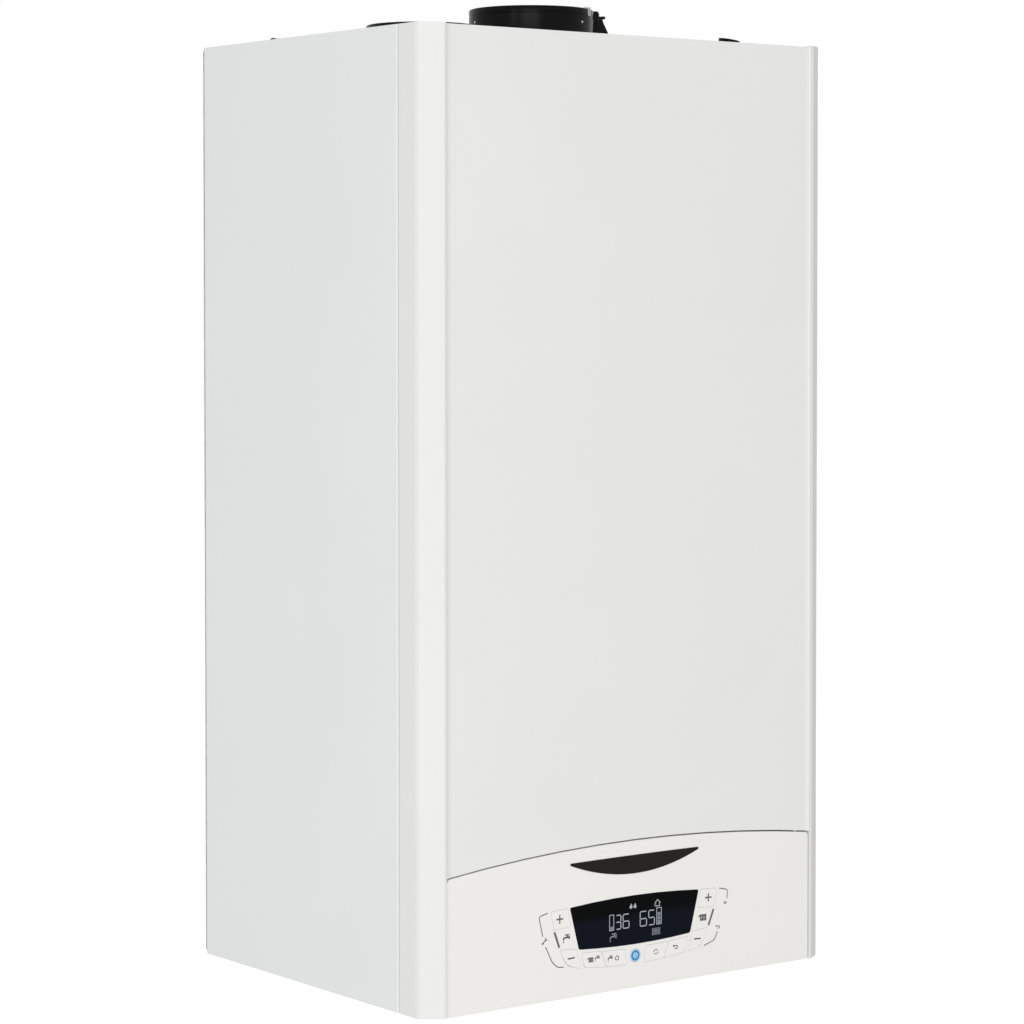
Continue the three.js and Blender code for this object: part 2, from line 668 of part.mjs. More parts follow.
function fasciaOutline(inset) {
  const half = FASCIA_HALF - inset;
  const arch = archPoints(half, -inset);
  const top = arch.map(([x, y], i) => [x, y, i === 0 || i === arch.length - 1 ? 3 : 0]);
  return outline([[-half, inset, 2], [half, inset, 2], ...top]);
}

function controlFascia() {
  const pocket = drawn('y', fasciaOutline(HOUSING_WALL), FASCIA_WALL, FASCIA_RIM + 1);
  const lensHole = drawn('y', betweenArcs(LENS_TOP, LENS_FOOT, FIT), -1, FASCIA_WALL + 1);
  const badgeSeat = drawn('y', badgeOutline(FIT), -1, BADGE_WALL - BADGE_PROUD + FIT);
  const keyHoles = KEYS.map(({ corners, side }) => {
    return drawn('y', keyOutline(corners, side, KEY_GAP), -1, FASCIA_WALL + 1);
  });
  const [x, height] = POWER_KEY_PLACE;
  const powerHole = rod('y', POWER_KEY_RADIUS + KEY_GAP, -1, FASCIA_WALL + 1, [x, 0, height]);
  const plate = drawn('y', fasciaOutline(0), 0, FASCIA_RIM);
  return cut(plate, pocket, lensHole, badgeSeat, ...keyHoles, powerHole);
}

// Rear housing: an open box behind the fascia, with ribs, posts for the board and a pin at each side
function controlHousing() {
  const half = HOUSING_WIDTH / 2;
  const front = FASCIA_WALL + FIT;
  const middle = (HOUSING_FLOOR + HOUSING_TOP) / 2;
  const rear = front + HOUSING_DEPTH;
  const shape = rectangle(-half, half, HOUSING_FLOOR, HOUSING_TOP, 4);
  const [low, high] = [HOUSING_FLOOR + HOUSING_WALL, HOUSING_TOP - HOUSING_WALL];
  const inner = rectangle(-half + HOUSING_WALL, half - HOUSING_WALL, low, high, 3);
  const shell = cut(drawn('y', shape, front, rear), drawn('y', inner, front - 1, rear - HOUSING_WALL));
  const postFront = BOARD_DEPTH + BOARD_WALL + FIT;
  const posts = [-1, 0, 1].map((side) => {
    return rod('y', 4, postFront, rear - 1, [side * (half - 30), 0, middle], COARSE);
  });
  const pinReach = half + 6.5;
  const pinPlace = [0, PIVOT_DEPTH, PIVOT_HEIGHT];
  const pins = [-1, 1].map((side) => {
    return rod('x', PIN_RADIUS, side * (half - 1), side * pinReach, pinPlace, COARSE);
  });
  const slots = [-3, -2, -1, 1, 2, 3].map((step) => {
    const x = step * 30;
    return drawn('y', rectangle(x - 2, x + 2, middle - 18, middle + 18, 1.5), rear - 5, rear + 5);
  });
  return cut(join(shell, ...posts, ...pins), ...slots);
}

function controlBoard() {
  const half = HOUSING_WIDTH / 2 - HOUSING_WALL - 6;
  const [low, high] = [HOUSING_FLOOR + HOUSING_WALL + 2, HOUSING_TOP - HOUSING_WALL - 4];
  const rear = BOARD_DEPTH + BOARD_WALL;
  const plate = drawn('y', rectangle(-half, half, low, high, 2), BOARD_DEPTH, rear);
  const transformer = box(-110, -62, rear - 0.5, rear + 26, low + 12, low + 50, 3);
  const relays = [44, 64, 84].map((x) => box(x, x + 15, rear - 0.5, rear + 14, high - 32, high - 8, 1));
  const sockets = [-40, -20, 20, 40].map((x) => box(x - 8, x + 8, rear - 0.5, rear + 9, low + 2, low + 12));
  const capacitors = [104, 120].map((x) => rod('y', 6, rear - 0.5, rear + 18, [x, 0, low + 22], COARSE));
  return join(plate, transformer, ...relays, ...sockets, ...capacitors);
}

function displayModule() {
  const front = LENS_WALL - PROUD + FIT;
  const bezel = drawn('y', rectangle(-48, 48, 38, 68, 2), front, BOARD_DEPTH - FIT);
  return cut(bezel, drawn('y', rectangle(-44, 44, 42, 64, 1), front - 1, front + 1.5));
}

function controlPanel() {
  const lens = drawn('y', betweenArcs(LENS_TOP, LENS_FOOT, 0), -PROUD, LENS_WALL - PROUD);
  const badge = drawn('y', badgeOutline(0), -BADGE_PROUD, BADGE_WALL - BADGE_PROUD);
  const stepKeys = KEYS.map((key) => piece(key.name, stepKey(key), FINISHES.keyPlastic));
  return assembly(
    [0, PANEL_FACE, 0],
    piece('control_fascia', controlFascia(), FINISHES.fasciaPlastic),
    piece('control_housing', controlHousing(), FINISHES.darkPlastic),
    piece('control_board', controlBoard(), FINISHES.circuitGreen),
    piece('display_module', displayModule(), FINISHES.greyPlastic),
    piece('display_lens', lens, FINISHES.blackGloss),
    piece('badge_insert', badge, FINISHES.blackGloss),
    ...stepKeys,
    piece('key_power', powerKey(), FINISHES.powerKey),
  );
}

// ------------------------------------------------------------------ frame
function backPanel() {
  const half = HALF_WIDTH - 0.8;
  const hangLine = TOP - HANG_DROP;
  const sheet = drawn('y', rectangle(-half, half, 1, TOP - 1, 3), 0, -SHEET);
  const railHalf = SLOT_OFFSET + SLOT_WIDTH / 2 + 25;
  const railFoot = hangLine - SLOT_HEIGHT - 12;
  const railShape = rectangle(-railHalf, railHalf, railFoot, hangLine + 20, 3);
  const rail = drawn('y', railShape, -SHEET / 2, -SHEET - RAIL_WALL);
  const slots = [-1, 1].map((side) => {
    const x = side * SLOT_OFFSET;
    const reach = SLOT_WIDTH / 2;
    const shape = rectangle(x - reach, x + reach, hangLine - SLOT_HEIGHT, hangLine);
    return drawn('y', shape, 1, -SHEET - RAIL_WALL - 1);
  });
  const postX = CHAMBER_HALF - POST_SIZE;
  const postY = CHAMBER_REAR + FIT;
  const postHeights = [CHAMBER_FLOOR + 25, CHAMBER_TOP - 15];
  const posts = postHeights.flatMap((z) => [-1, 1].map((side) => {
    const [x0, x1] = [side * postX - POST_SIZE / 2, side * postX + POST_SIZE / 2];
    return box(x0, x1, postY, -SHEET / 2, z - POST_SIZE / 2, z + POST_SIZE / 2);
  }));
  const shelfTop = VESSEL_HEIGHT - VESSEL_RADIUS - FIT;
  const shelf = box(-40, 40, TRAY_REAR - VESSEL_DEPTH + 20, -SHEET / 2, shelfTop - 3, shelfTop, 2);
  return cut(join(sheet, rail, ...posts, shelf), ...slots);
}

function sidePanel(side) {
  const corners = [
    [HALF_WIDTH - 14, FRAME_REAR], [HALF_WIDTH, FRAME_REAR],
    [HALF_WIDTH, FRAME_FRONT], [HALF_WIDTH - 12, FRAME_FRONT],
  ];
  const section = foldedSection(foldedPath(corners, FOLD_RADIUS), SHEET);
  return drawn('z', new THREE.Shape(mirrored(section.getPoints(), side)), 0, TOP);
}

// A shallow tray with its flanges turned towards the inside of the boiler
function tray(face, inward) {
  const shape = rectangle(-TRAY_HALF, TRAY_HALF, TRAY_FRONT, TRAY_REAR, 2);
  const [left, right] = [-TRAY_HALF + SHEET, TRAY_HALF - SHEET];
  const inner = rectangle(left, right, TRAY_FRONT + SHEET, TRAY_REAR - SHEET, 1.5);
  const edge = face + inward * TRAY_FLANGE;
  return cut(drawn('z', shape, face, edge), drawn('z', inner, face + inward * SHEET, edge + inward));
}

function topPlate() {
  const holeTop = TOP + 1;
  const holeFoot = TOP - TRAY_FLANGE;
  const flue = rod('z', COLLAR_RADIUS - 0.5, holeFoot, holeTop, [0, -FLUE_FROM_WALL, 0], FINE);
  const intake = rod('z', CAP_RADIUS - 4.5, holeFoot, holeTop, [-CAP_OFFSET, -FLUE_FROM_WALL, 0], FINE);
  const plug = rod('z', PLUG_RADIUS - 2, holeFoot, holeTop, [PLUG_X, PLUG_Y, 0]);
  return cut(tray(TOP, -1), flue, intake, plug);
}

// An ear of the bottom plate that carries one pin of the control panel
function pivotEar(side) {
  const pivotY = PANEL_FACE + PIVOT_DEPTH;
  const x = HOUSING_WIDTH / 2 + 2.5;
  const rearY = pivotY + 45;
  const arm = outline([
    [rearY, SHEET / 2], [pivotY + 18, SHEET / 2], [pivotY + 18, PIVOT_HEIGHT - 4],
    [pivotY, PIVOT_HEIGHT - EAR_RADIUS], [pivotY, PIVOT_HEIGHT + EAR_RADIUS],
    [pivotY + 18, PIVOT_HEIGHT + EAR_RADIUS], [rearY, PIVOT_HEIGHT - 4],
  ]);
  const [near, far] = [side * x, side * (x + EAR_WALL)];
  const eye = rod('x', EAR_RADIUS, near, far, [0, pivotY, PIVOT_HEIGHT]);
  const bore = rod('x', PIN_RADIUS + FIT, near - side, far + side, [0, pivotY, PIVOT_HEIGHT], COARSE);
  return cut(join(drawn('x', arm, near, far), eye), bore);
}

function bottomPlate() {
  const tails = [-2, -1, 0, 1, 2].map((step) => {
    const radius = Math.abs(step) === 2 ? HEATING_TAIL : WATER_TAIL;
    return rod('z', radius + PASS, -1, 3, [step * TAIL_PITCH, -TAILS_FROM_WALL, 0]);
  });
  const relief = rod('z', RELIEF_RADIUS + PASS, -1, 3, [RELIEF_X, -TAILS_FROM_WALL, 0]);
  const trap = rod('z', TRAP_OUTLET + PASS, -1, 3, [TRAP_X, TRAP_Y, 0]);
  const half = HOUSING_WIDTH / 2 + 8;
  const doorway = box(-half, half, TRAY_FRONT - 1, TRAY_FRONT + 4, SHEET, TRAY_FLANGE + 1);
  const lip = box(-half, half, PANEL_FACE + PIVOT_DEPTH + 19, TRAY_FRONT + 4, 0, SHEET, 1);
  return join(cut(tray(0, 1), ...tails, relief, trap, doorway), lip, pivotEar(-1), pivotEar(1));
}

function frame() {
  return assembly(
    [0, 0, 0],
    piece('back_panel', backPanel(), FINISHES.zincSheet),
    piece('left_side_panel', sidePanel(-1), FINISHES.sidePaint),
    piece('right_side_panel', sidePanel(1), FINISHES.sidePaint),
    piece('top_plate', topPlate(), FINISHES.sidePaint),
    piece('bottom_plate', bottomPlate(), FINISHES.zincSheet),
  );
}

// ------------------------------------------------------------------ what stands on the top plate
// Collar of the air and flue duct, with a test boss on its right; heights from the top plate
function flueCollar() {
  const bore = COLLAR_RADIUS - COLLAR_WALL;
  const seat = SEAL_WALL + 2 * FIT;
  const profile = [
    [bore, -15], [COLLAR_RADIUS - 1, -15], [COLLAR_RADIUS - 1, seat], [COLLAR_FLANGE, seat],
    [COLLAR_FLANGE, seat + 3],
    [COLLAR_RADIUS, seat + 4.5], [COLLAR_RADIUS, COLLAR_RISE - 5], [COLLAR_RADIUS + 1.2, COLLAR_RISE - 4],
    [COLLAR_RADIUS + 1.2, COLLAR_RISE], [bore, COLLAR_RISE],
  ];
  const reach = COLLAR_RADIUS + BOSS_REACH;
  const slope = [[reach, seat], [reach, seat + 9], [reach - 6, 21]];
  const side = outline([[bore + 1, seat], ...slope, [bore + 1, 27]]);
  const turn = new THREE.Shape(side.getPoints());
  const boss = drawn('y', turn, -BOSS_RADIUS, BOSS_RADIUS);
  const testBore = rod('z', 4, 8, 40, [TEST_CAP_X, 0, 0], COARSE);
  const lugs = [45, 135, 225, 315].map((degrees) => {
    const angle = (degrees * Math.PI) / 180;
    const at = [COLLAR_FLANGE * Math.cos(angle), COLLAR_FLANGE * Math.sin(angle), 0];
    return rod('z', 7, seat, seat + 3, at, COARSE);
  });
  return cut(join(turned('z', profile, [0, 0, 0], FINE), boss, ...lugs), testBore);
}

function testCap() {
  const cap = TEST_CAP_RADIUS;
  const profile = [[0, 14], [3.7, 14], [3.7, 25], [cap, 25.5], [cap, 27.5], [cap - 1, 28.5], [0, 28.5]];
  return turned('z', profile, [TEST_CAP_X, 0, 0], COARSE);
}

function intakeCap() {
  const skirt = CAP_RADIUS - 5;
  const profile = [
    [0, 2], [skirt - 3, 2], [skirt - 3, -14], [skirt, -14], [skirt, FIT], [CAP_RADIUS, FIT],
    [CAP_RADIUS, 5],
    [CAP_RADIUS - 5, CAP_RISE - 1], [CAP_RADIUS - 12, CAP_RISE], [CAP_RADIUS - 16, CAP_RISE - 2.5],
    [0, CAP_RISE - 2.5],
  ];
  return turned('z', profile, [0, 0, 0], FINE);
}

function topPlug() {
  const stem = PLUG_RADIUS - 2 - FIT;
  const profile = [
    [0, -5], [stem, -5], [stem, FIT], [PLUG_RADIUS + 1, FIT], [PLUG_RADIUS + 1, 2.5], [PLUG_RADIUS, 3.5],
    [PLUG_RADIUS - 0.8, PLUG_RISE - 3], [PLUG_RADIUS - 3, PLUG_RISE], [0, PLUG_RISE],
  ];
  const tongue = box(PLUG_RADIUS - 2, PLUG_RADIUS + 9, -5, 5, FIT, 5, 2);
  return join(turned('z', profile), tongue);
}

function topFittings() {
  const seat = FIT;
  const gasket = ring('z', COLLAR_FLANGE - 1, COLLAR_RADIUS, seat, seat + SEAL_WALL, [0, 0, 0], FINE);
  return assembly(
    [0, -FLUE_FROM_WALL, TOP],
    piece('flue_collar', flueCollar(), FINISHES.blackGloss),
    piece('flue_gasket', gasket, FINISHES.rubber),
    piece('test_point_cap', testCap(), FINISHES.darkPlastic),
    piece('intake_cap', intakeCap(), FINISHES.blackGloss, [-CAP_OFFSET, 0, 0]),
    piece('top_plug', topPlug(), FINISHES.blackGloss, [PLUG_X, PLUG_Y + FLUE_FROM_WALL, 0]),
  );
}

// ------------------------------------------------------------------ sealed chamber
function chamberBox() {
  const [low, high] = [CHAMBER_FLOOR, CHAMBER_TOP];
  const shape = rectangle(-CHAMBER_HALF, CHAMBER_HALF, low, high, 4);
  const half = CHAMBER_HALF - SHEET;
  const hollow = rectangle(-half, half, low + SHEET, high - SHEET, 3);
  const flangeHalf = CHAMBER_HALF + CHAMBER_FLANGE;
  const flangeShape = rectangle(-flangeHalf, flangeHalf, low - CHAMBER_FLANGE, high + CHAMBER_FLANGE, 6);
  const flange = drawn('y', flangeShape, CHAMBER_FRONT, CHAMBER_FRONT + SHEET);
  const body = join(drawn('y', shape, CHAMBER_REAR, CHAMBER_FRONT), flange);
  const inside = drawn('y', hollow, CHAMBER_REAR - SHEET, CHAMBER_FRONT - 1);
  const flue = rod('z', COLLAR_RADIUS - 0.5, high - 5, high + 5, [0, -FLUE_FROM_WALL, 0], FINE);
  const intake = rod('z', CAP_RADIUS - 4.5, high - 5, high + 5, [-CAP_OFFSET, -FLUE_FROM_WALL, 0], FINE);
  const passes = [
    [FLOW_PIPE_X, -TAILS_FROM_WALL, WATER_PIPE_RADIUS],
    [RETURN_PIPE_X, -TAILS_FROM_WALL, WATER_PIPE_RADIUS],
    [GAS_VALVE_X, GAS_VALVE_Y, GAS_PIPE_RADIUS],
    [TRAP_X, TRAP_Y, DRAIN_RADIUS],
  ].map(([x, y, radius]) => rod('z', radius + PASS, low - 5, low + 5, [x, y, 0]));
  return cut(body, inside, flue, intake, ...passes);
}

function chamberSeal() {
  const front = CHAMBER_FRONT - FIT;
  const [low, high] = [CHAMBER_FLOOR, CHAMBER_TOP];
  const reach = CHAMBER_FLANGE - 1;
  const outer = rectangle(-CHAMBER_HALF - reach, CHAMBER_HALF + reach, low - reach, high + reach, 5);
  const inner = rectangle(-CHAMBER_HALF - 1, CHAMBER_HALF + 1, low - 1, high + 1, 3);
  const opening = drawn('y', inner, front + 1, front - SEAL_WALL - 1);
  return cut(drawn('y', outer, front, front - SEAL_WALL), opening);
}

function chamberCover() {
  const rear = CHAMBER_FRONT - SEAL_WALL - 2 * FIT;
  const [low, high] = [CHAMBER_FLOOR, CHAMBER_TOP];
  const reach = CHAMBER_FLANGE;
  const plate = rectangle(-CHAMBER_HALF - reach, CHAMBER_HALF + reach, low - reach, high + reach, 6);
  const half = CHAMBER_HALF - 14;
  const raised = rectangle(-half, half, low + 16, high - 16, 14);
  const hollowHalf = half - SHEET;
  const hollow = rectangle(-hollowHalf, hollowHalf, low + 16 + SHEET, high - 16 - SHEET, 13);
  const face = rear - SHEET - COVER_RELIEF;
  return cut(
    join(drawn('y', plate, rear, rear - SHEET), drawn('y', raised, rear, face)),
    drawn('y', hollow, rear + 1, face + SHEET),
  );
}

// ------------------------------------------------------------------ burner side
// Its group stands on the drum's axis: heights are measured from that axis
function heatExchanger() {
  const grooves = [0, 1, 2].flatMap((step) => {
    const start = DRUM_REAR - 22 - step * 36;
    return [[DRUM_RADIUS, start], [DRUM_RADIUS - 5, start - 8], [DRUM_RADIUS, start - 16]];
  });
  const profile = [
    [0, DRUM_REAR], [DRUM_RADIUS - 8, DRUM_REAR], [DRUM_RADIUS, DRUM_REAR - 8], ...grooves,
    [DRUM_RADIUS, DRUM_FRONT], [DRUM_BORE, DRUM_FRONT],
    [DRUM_BORE, DRUM_REAR - DRUM_BACK], [0, DRUM_REAR - DRUM_BACK],
  ];
  const drum = turned('y', profile, [0, 0, 0], FINE);
  const spigotAt = [0, -FLUE_FROM_WALL, 0];
  const spigot = rod('z', FLUE_RADIUS + 3.5, DRUM_BORE + 2, SPIGOT_TOP, spigotAt);
  const socket = rod('z', FLUE_RADIUS + FIT, SPIGOT_FOOT, SPIGOT_TOP + 1, spigotAt);
  const drain = rod('z', DRAIN_RADIUS + 1, -DRUM_RADIUS + 4, -DRUM_RADIUS + 30, [DRAIN_X, DRAIN_Y, 0]);
  const flowAt = [0, -TAILS_FROM_WALL, 0];
  const flowPort = rod('x', WATER_PIPE_RADIUS + 2, -PORT_REACH, -DRUM_BORE - 2, flowAt);
  const returnAt = [0, -TAILS_FROM_WALL, -RETURN_PORT_DROP];
  const returnPort = rod('x', WATER_PIPE_RADIUS + 2, DRUM_BORE - 6, PORT_REACH, returnAt);
  const rearWall = CHAMBER_REAR - SHEET - FIT;
  const [footX, footZ] = [0.6 * DRUM_RADIUS, 0.5 * DRUM_RADIUS];
  const feet = [-footX, footX].flatMap((x) => [-footZ, footZ].map((z) => {
    return box(x - 12, x + 12, DRUM_REAR - 5, rearWall, z - 12, z + 12);
  }));
  return cut(join(drum, spigot, drain, flowPort, returnPort, ...feet), socket);
}

function electrodePlace() {
  return [ELECTRODE_REACH * Math.cos(ELECTRODE_ANGLE), ELECTRODE_REACH * Math.sin(ELECTRODE_ANGLE)];
}

// Cast door of the burner, with the elbow that brings the mixture up from the fan
function burnerDoor() {
  const plate = turned('y', [
    [0, DOOR_REAR], [DOOR_RADIUS, DOOR_REAR], [DOOR_RADIUS, DOOR_FACE + 2],
    [DOOR_RADIUS - 2, DOOR_FACE], [0, DOOR_FACE],
  ], [0, 0, 0], FINE);
  const dome = turned('y', [
    [0, DOOR_FACE + 1], [38, DOOR_FACE + 1], [36, ELBOW_FACE + 4], [32, ELBOW_FACE], [0, ELBOW_FACE],
  ]);
  const outletTop = -FAN_DROP + OUTLET_RISE + FIT;
  const [left, right] = [FAN_OFFSET - SCROLL_END, FAN_OFFSET - SCROLL_END + OUTLET_WIDTH];
  const throatTop = -DRUM_RADIUS - 1;
  const side = outline([
    [FAN_REAR, outletTop], [FAN_REAR, throatTop], [DOOR_FACE + 1, throatTop], [DOOR_FACE + 1, 0],
    [ELBOW_FACE, 0], [ELBOW_FACE, outletTop + 6], [ELBOW_FACE + 6, outletTop],
  ]);
  const elbow = drawn('x', side, left, right);
  const lobes = [0, 1, 2, 3].map((step) => {
    const angle = (Math.PI / 2) * step + 0.5;
    const [x, z] = [(DOOR_RADIUS - 9) * Math.cos(angle), (DOOR_RADIUS - 9) * Math.sin(angle)];
    return rod('y', 7, DOOR_FACE + 1, DOOR_FACE - 4, [x, 0, z], 6);
  });
  const [x, z] = electrodePlace();
  const rodHole = rod('y', 3, DOOR_REAR + 1, DOOR_FACE - 1, [x, 0, z], COARSE);
  return cut(join(plate, dome, elbow, ...lobes), rodHole);
}

function burnerTube() {
  const front = DRUM_FRONT;
  const rear = DRUM_REAR - DRUM_BACK - BURNER_SPACE;
  return turned('y', [
    [0, rear], [BURNER_RADIUS - 4, rear], [BURNER_RADIUS, rear - 4], [BURNER_RADIUS, front + 2],
    [BURNER_RADIUS + 8, front + 2], [BURNER_RADIUS + 8, front], [BURNER_RADIUS - 1.5, front],
    [BURNER_RADIUS - 1.5, rear - 2], [0, rear - 2],
  ]);
}

function ignitionElectrode() {
  const [x, z] = electrodePlace();
  const front = DOOR_FACE - FIT;
  const base = drawn('y', rectangle(x - 14, x + 14, z - 6, z + 6, 4), front, front - 3);
  const stem = [[0, front - 2], [5, front - 2], [5, front - 10], [3.5, front - 12], [0, front - 12]];
  const ceramic = turned('y', stem, [x, 0, z], COARSE);
  const needle = rod('y', 1.6, front, DRUM_FRONT + 40, [x, 0, z], 8);
  return join(base, ceramic, needle);
}

function flueDuct() {
  const foot = SPIGOT_FOOT + FIT;
  const top = TOP - DRUM_HEIGHT + COLLAR_RISE - 8;
  const flare = FLUE_RADIUS + 2.5;
  return turned('z', [
    [FLUE_RADIUS - FLUE_WALL, foot], [FLUE_RADIUS, foot], [FLUE_RADIUS, top - 26],
    [flare, top - 22], [flare, top],
    [flare - FLUE_WALL, top], [flare - FLUE_WALL, top - 21], [FLUE_RADIUS - FLUE_WALL, top - 25],
  ], [0, -FLUE_FROM_WALL, 0]);
}

// The fan's scroll: its wall moves away from the axis as it goes round to the outlet
function scrollOutline(inset) {
  const turns = 16;
  const start = (3 * Math.PI) / 4;
  const sweep = start + Math.PI;
  const curve = Array.from({ length: turns + 1 }, (unused, i) => {
    const share = i / turns;
    const radius = SCROLL_START + (SCROLL_END - SCROLL_START) * share - inset;
    const angle = start - sweep * share;
    return [radius * Math.cos(angle), radius * Math.sin(angle)];
  });
  const rise = OUTLET_RISE + (inset > 0 ? 1 : 0);
  const outer = -SCROLL_END + inset;
  const inner = -SCROLL_END + OUTLET_WIDTH - inset;
  return outline([...curve, [outer, rise], [inner, rise]]);
}

function fanHousing() {
  const floor = FAN_REAR - 3;
  const body = drawn('y', scrollOutline(0), FAN_REAR, FAN_FRONT);
  const hollow = drawn('y', scrollOutline(2.5), floor, FAN_FRONT - 1);
  const bore = rod('y', SHAFT_RADIUS + PASS, FAN_REAR + 1, floor - 1, [0, 0, 0], COARSE);
  return cut(body, hollow, bore);
}

function fanCover() {
  const rear = FAN_FRONT - FIT;
  const plate = drawn('y', scrollOutline(0), rear, rear - 2.5);
  const face = rear - MOUTH_DEPTH;
  const lip = [[0, rear - 1], [MOUTH_RADIUS + 9, rear - 1], [MOUTH_RADIUS + 5, face], [0, face]];
  const mouth = turned('y', lip);
  const hole = rod('y', MOUTH_RADIUS, rear + 1, face - 1, [0, 0, 0]);
  return cut(join(plate, mouth), hole);
}

// One curved blade: a strip that leans back from the hub to the rim of its wheel
function bladeSection(wheel, angle) {
  const points = Array.from({ length: BLADE_STEPS + 1 }, (unused, i) => {
    const share = i / BLADE_STEPS;
    const radius = wheel.start + (wheel.end - wheel.start) * share;
    const turn = angle + wheel.lean * share ** 1.4;
    return new THREE.Vector2(wheel.x + radius * Math.cos(turn), wheel.z + radius * Math.sin(turn));
  });
  return foldedSection(points, wheel.thickness);
}

function bladeRing(wheel, from, to) {
  return Array.from({ length: wheel.blades }, (unused, i) => {
    return drawn('y', bladeSection(wheel, (2 * Math.PI * i) / wheel.blades), from, to);
  });
}

function fanImpeller() {
  const back = FAN_REAR - 7;
  const front = FAN_FRONT + 5;
  const plate = ring('y', WHEEL_RADIUS, SHAFT_RADIUS + FIT, back, back - 2, [0, 0, 0], FINE);
  const hub = ring('y', 10, SHAFT_RADIUS + FIT, back, back - 16, [0, 0, 0], SIDES);
  const shroud = turned('y', [
    [WHEEL_RADIUS, front + 5], [WHEEL_RADIUS, front + 3], [34, front], [33, front + 1.8],
  ], [0, 0, 0], FINE);
  const shape = { start: 24, end: WHEEL_RADIUS - 1, lean: -0.7, thickness: 1.6 };
  const blades = bladeRing({ x: 0, z: 0, blades: WHEEL_BLADES, ...shape }, back - 1, front + 4.2);
  return join(plate, hub, shroud, ...blades);
}

function fanMotor() {
  const front = FAN_REAR + FIT;
  const rear = front + 38;
  const can = turned('y', [
    [0, rear], [MOTOR_RADIUS - 6, rear], [MOTOR_RADIUS, rear - 5], [MOTOR_RADIUS, front + 4],
    [MOTOR_RADIUS + 5, front + 4], [MOTOR_RADIUS + 5, front], [0, front],
  ]);
  const shaft = rod('y', SHAFT_RADIUS, front + 1, FAN_FRONT + 14, [0, 0, 0], COARSE);
  const ribs = Array.from({ length: 8 }, (unused, i) => {
    const angle = (Math.PI / 4) * i;
    const [x, z] = [MOTOR_RADIUS * Math.cos(angle), MOTOR_RADIUS * Math.sin(angle)];
    return rod('y', 2.5, front + 2, rear - 8, [x, 0, z], 6);
  });
  return join(can, shaft, ...ribs);
}

// Venturi that draws gas into the air on its way to the fan
function gasMixer() {
  const rear = MIXER_REAR;
  const front = rear - 31;
  const mouth = MOUTH_RADIUS;
  const body = turned('y', [
    [mouth, rear], [mouth + 7, rear], [mouth + 7, rear - 4], [mouth - 1, rear - 6], [26, GAS_LINE_Y],
    [mouth + 3, front + 2], [mouth + 3, front], [mouth, front], [20, GAS_LINE_Y - 1], [20, GAS_LINE_Y + 4],
  ]);
  const gasLine = [0, GAS_LINE_Y, 0];
  const boss = rod('x', VALVE_OUTLET, -BOSS_END + FIT, -22, gasLine, COARSE);
  return cut(join(body, boss), rod('x', GAS_PIPE_RADIUS - 3, -BOSS_END - 1, -15, gasLine, COARSE));
}

function gasValve() {
  const outletY = GAS_LINE_Y;
  const block = box(-38, 38, outletY - 22, outletY + 24, -30, 30, 5);
  const solenoids = [-16, 18].map((x) => rod('z', 14, 28, 58, [x, outletY, 0], SIDES));
  const flange = box(-24, 24, GAS_VALVE_Y - 17, GAS_VALVE_Y + 17, -38, -29, 8);
  const socket = rod('z', GAS_PIPE_RADIUS + FIT, -39, -28, [0, GAS_VALVE_Y, 0]);
  const outlet = rod('x', VALVE_OUTLET, 37, FAN_OFFSET - GAS_VALVE_X - BOSS_END, [0, outletY, 0], COARSE);
  const nipples = [-20, 0].map((x) => rod('y', 4, outletY - 21, outletY - 26, [x, 0, 4], 6));
  return cut(join(block, ...solenoids, flange, outlet, ...nipples), socket);
}

function ignitionBox() {
  const right = CHAMBER_HALF - SHEET - FIT;
  const body = box(right - 28, right, -215, -150, -20, 25, 4);
  const terminal = rod('z', 6, 24, 36, [right - 14, -170, 0], COARSE);
  return join(body, terminal);
}

function burnerSide() {
  const fan = assembly(
    [FAN_OFFSET, 0, -FAN_DROP],
    piece('fan_housing', fanHousing(), FINISHES.castAluminium),
    piece('fan_cover', fanCover(), FINISHES.castAluminium),
    piece('fan_impeller', fanImpeller(), FINISHES.darkPlastic),
    piece('fan_motor', fanMotor(), FINISHES.darkPlastic),
    piece('gas_mixer', gasMixer(), FINISHES.castAluminium),
  );
  return assembly(
    [0, 0, DRUM_HEIGHT],
    piece('heat_exchanger', heatExchanger(), FINISHES.stainless),
    piece('burner_door', burnerDoor(), FINISHES.castAluminium),
    piece('burner_tube', burnerTube(), FINISHES.stainless),
    piece('ignition_electrode', ignitionElectrode(), FINISHES.ceramic),
    piece('flue_duct', flueDuct(), FINISHES.darkPlastic),
    piece('gas_valve', gasValve(), FINISHES.castAluminium, [GAS_VALVE_X, 0, -FAN_DROP]),
    piece('ignition_box', ignitionBox(), FINISHES.darkPlastic, [0, 0, 60]),
    fan,
  );
}

// ------------------------------------------------------------------ water side
// A pipe tail below the bottom plate: the pipe, its nut and its bore
function tail(x, radius) {
  const y = -TAILS_FROM_WALL;
  return {
    stem: rod('z', radius, -TAIL_DROP, BLOCK_HEIGHT, [x, y, 0]),
    nut: drawn('z', nutOutline(2 * radius + 10, x, y), -NUT_DEPTH, -FIT),
    bore: rod('z', radius - TAIL_WALL, -TAIL_DROP - 1, 20, [x, y, 0]),
  };
}

function waterBlock(side) {
  const heating = tail(side * 2 * TAIL_PITCH, HEATING_TAIL);
  const water = tail(side * TAIL_PITCH, WATER_TAIL);
  const y = -TAILS_FROM_WALL;
  const [near, far] = [side * (TAIL_PITCH - 14), side * (2 * TAIL_PITCH + 16)];
  const body = rod('x', BLOCK_RADIUS, near, far, [0, y, BLOCK_HEIGHT]);
  const link = rod('y', 12, y, PLATES_REAR + FIT, [side * TAIL_PITCH, 0, BLOCK_HEIGHT]);
  const joined = join(heating.stem, heating.nut, water.stem, water.nut, body, link);
  return cut(joined, heating.bore, water.bore);
}

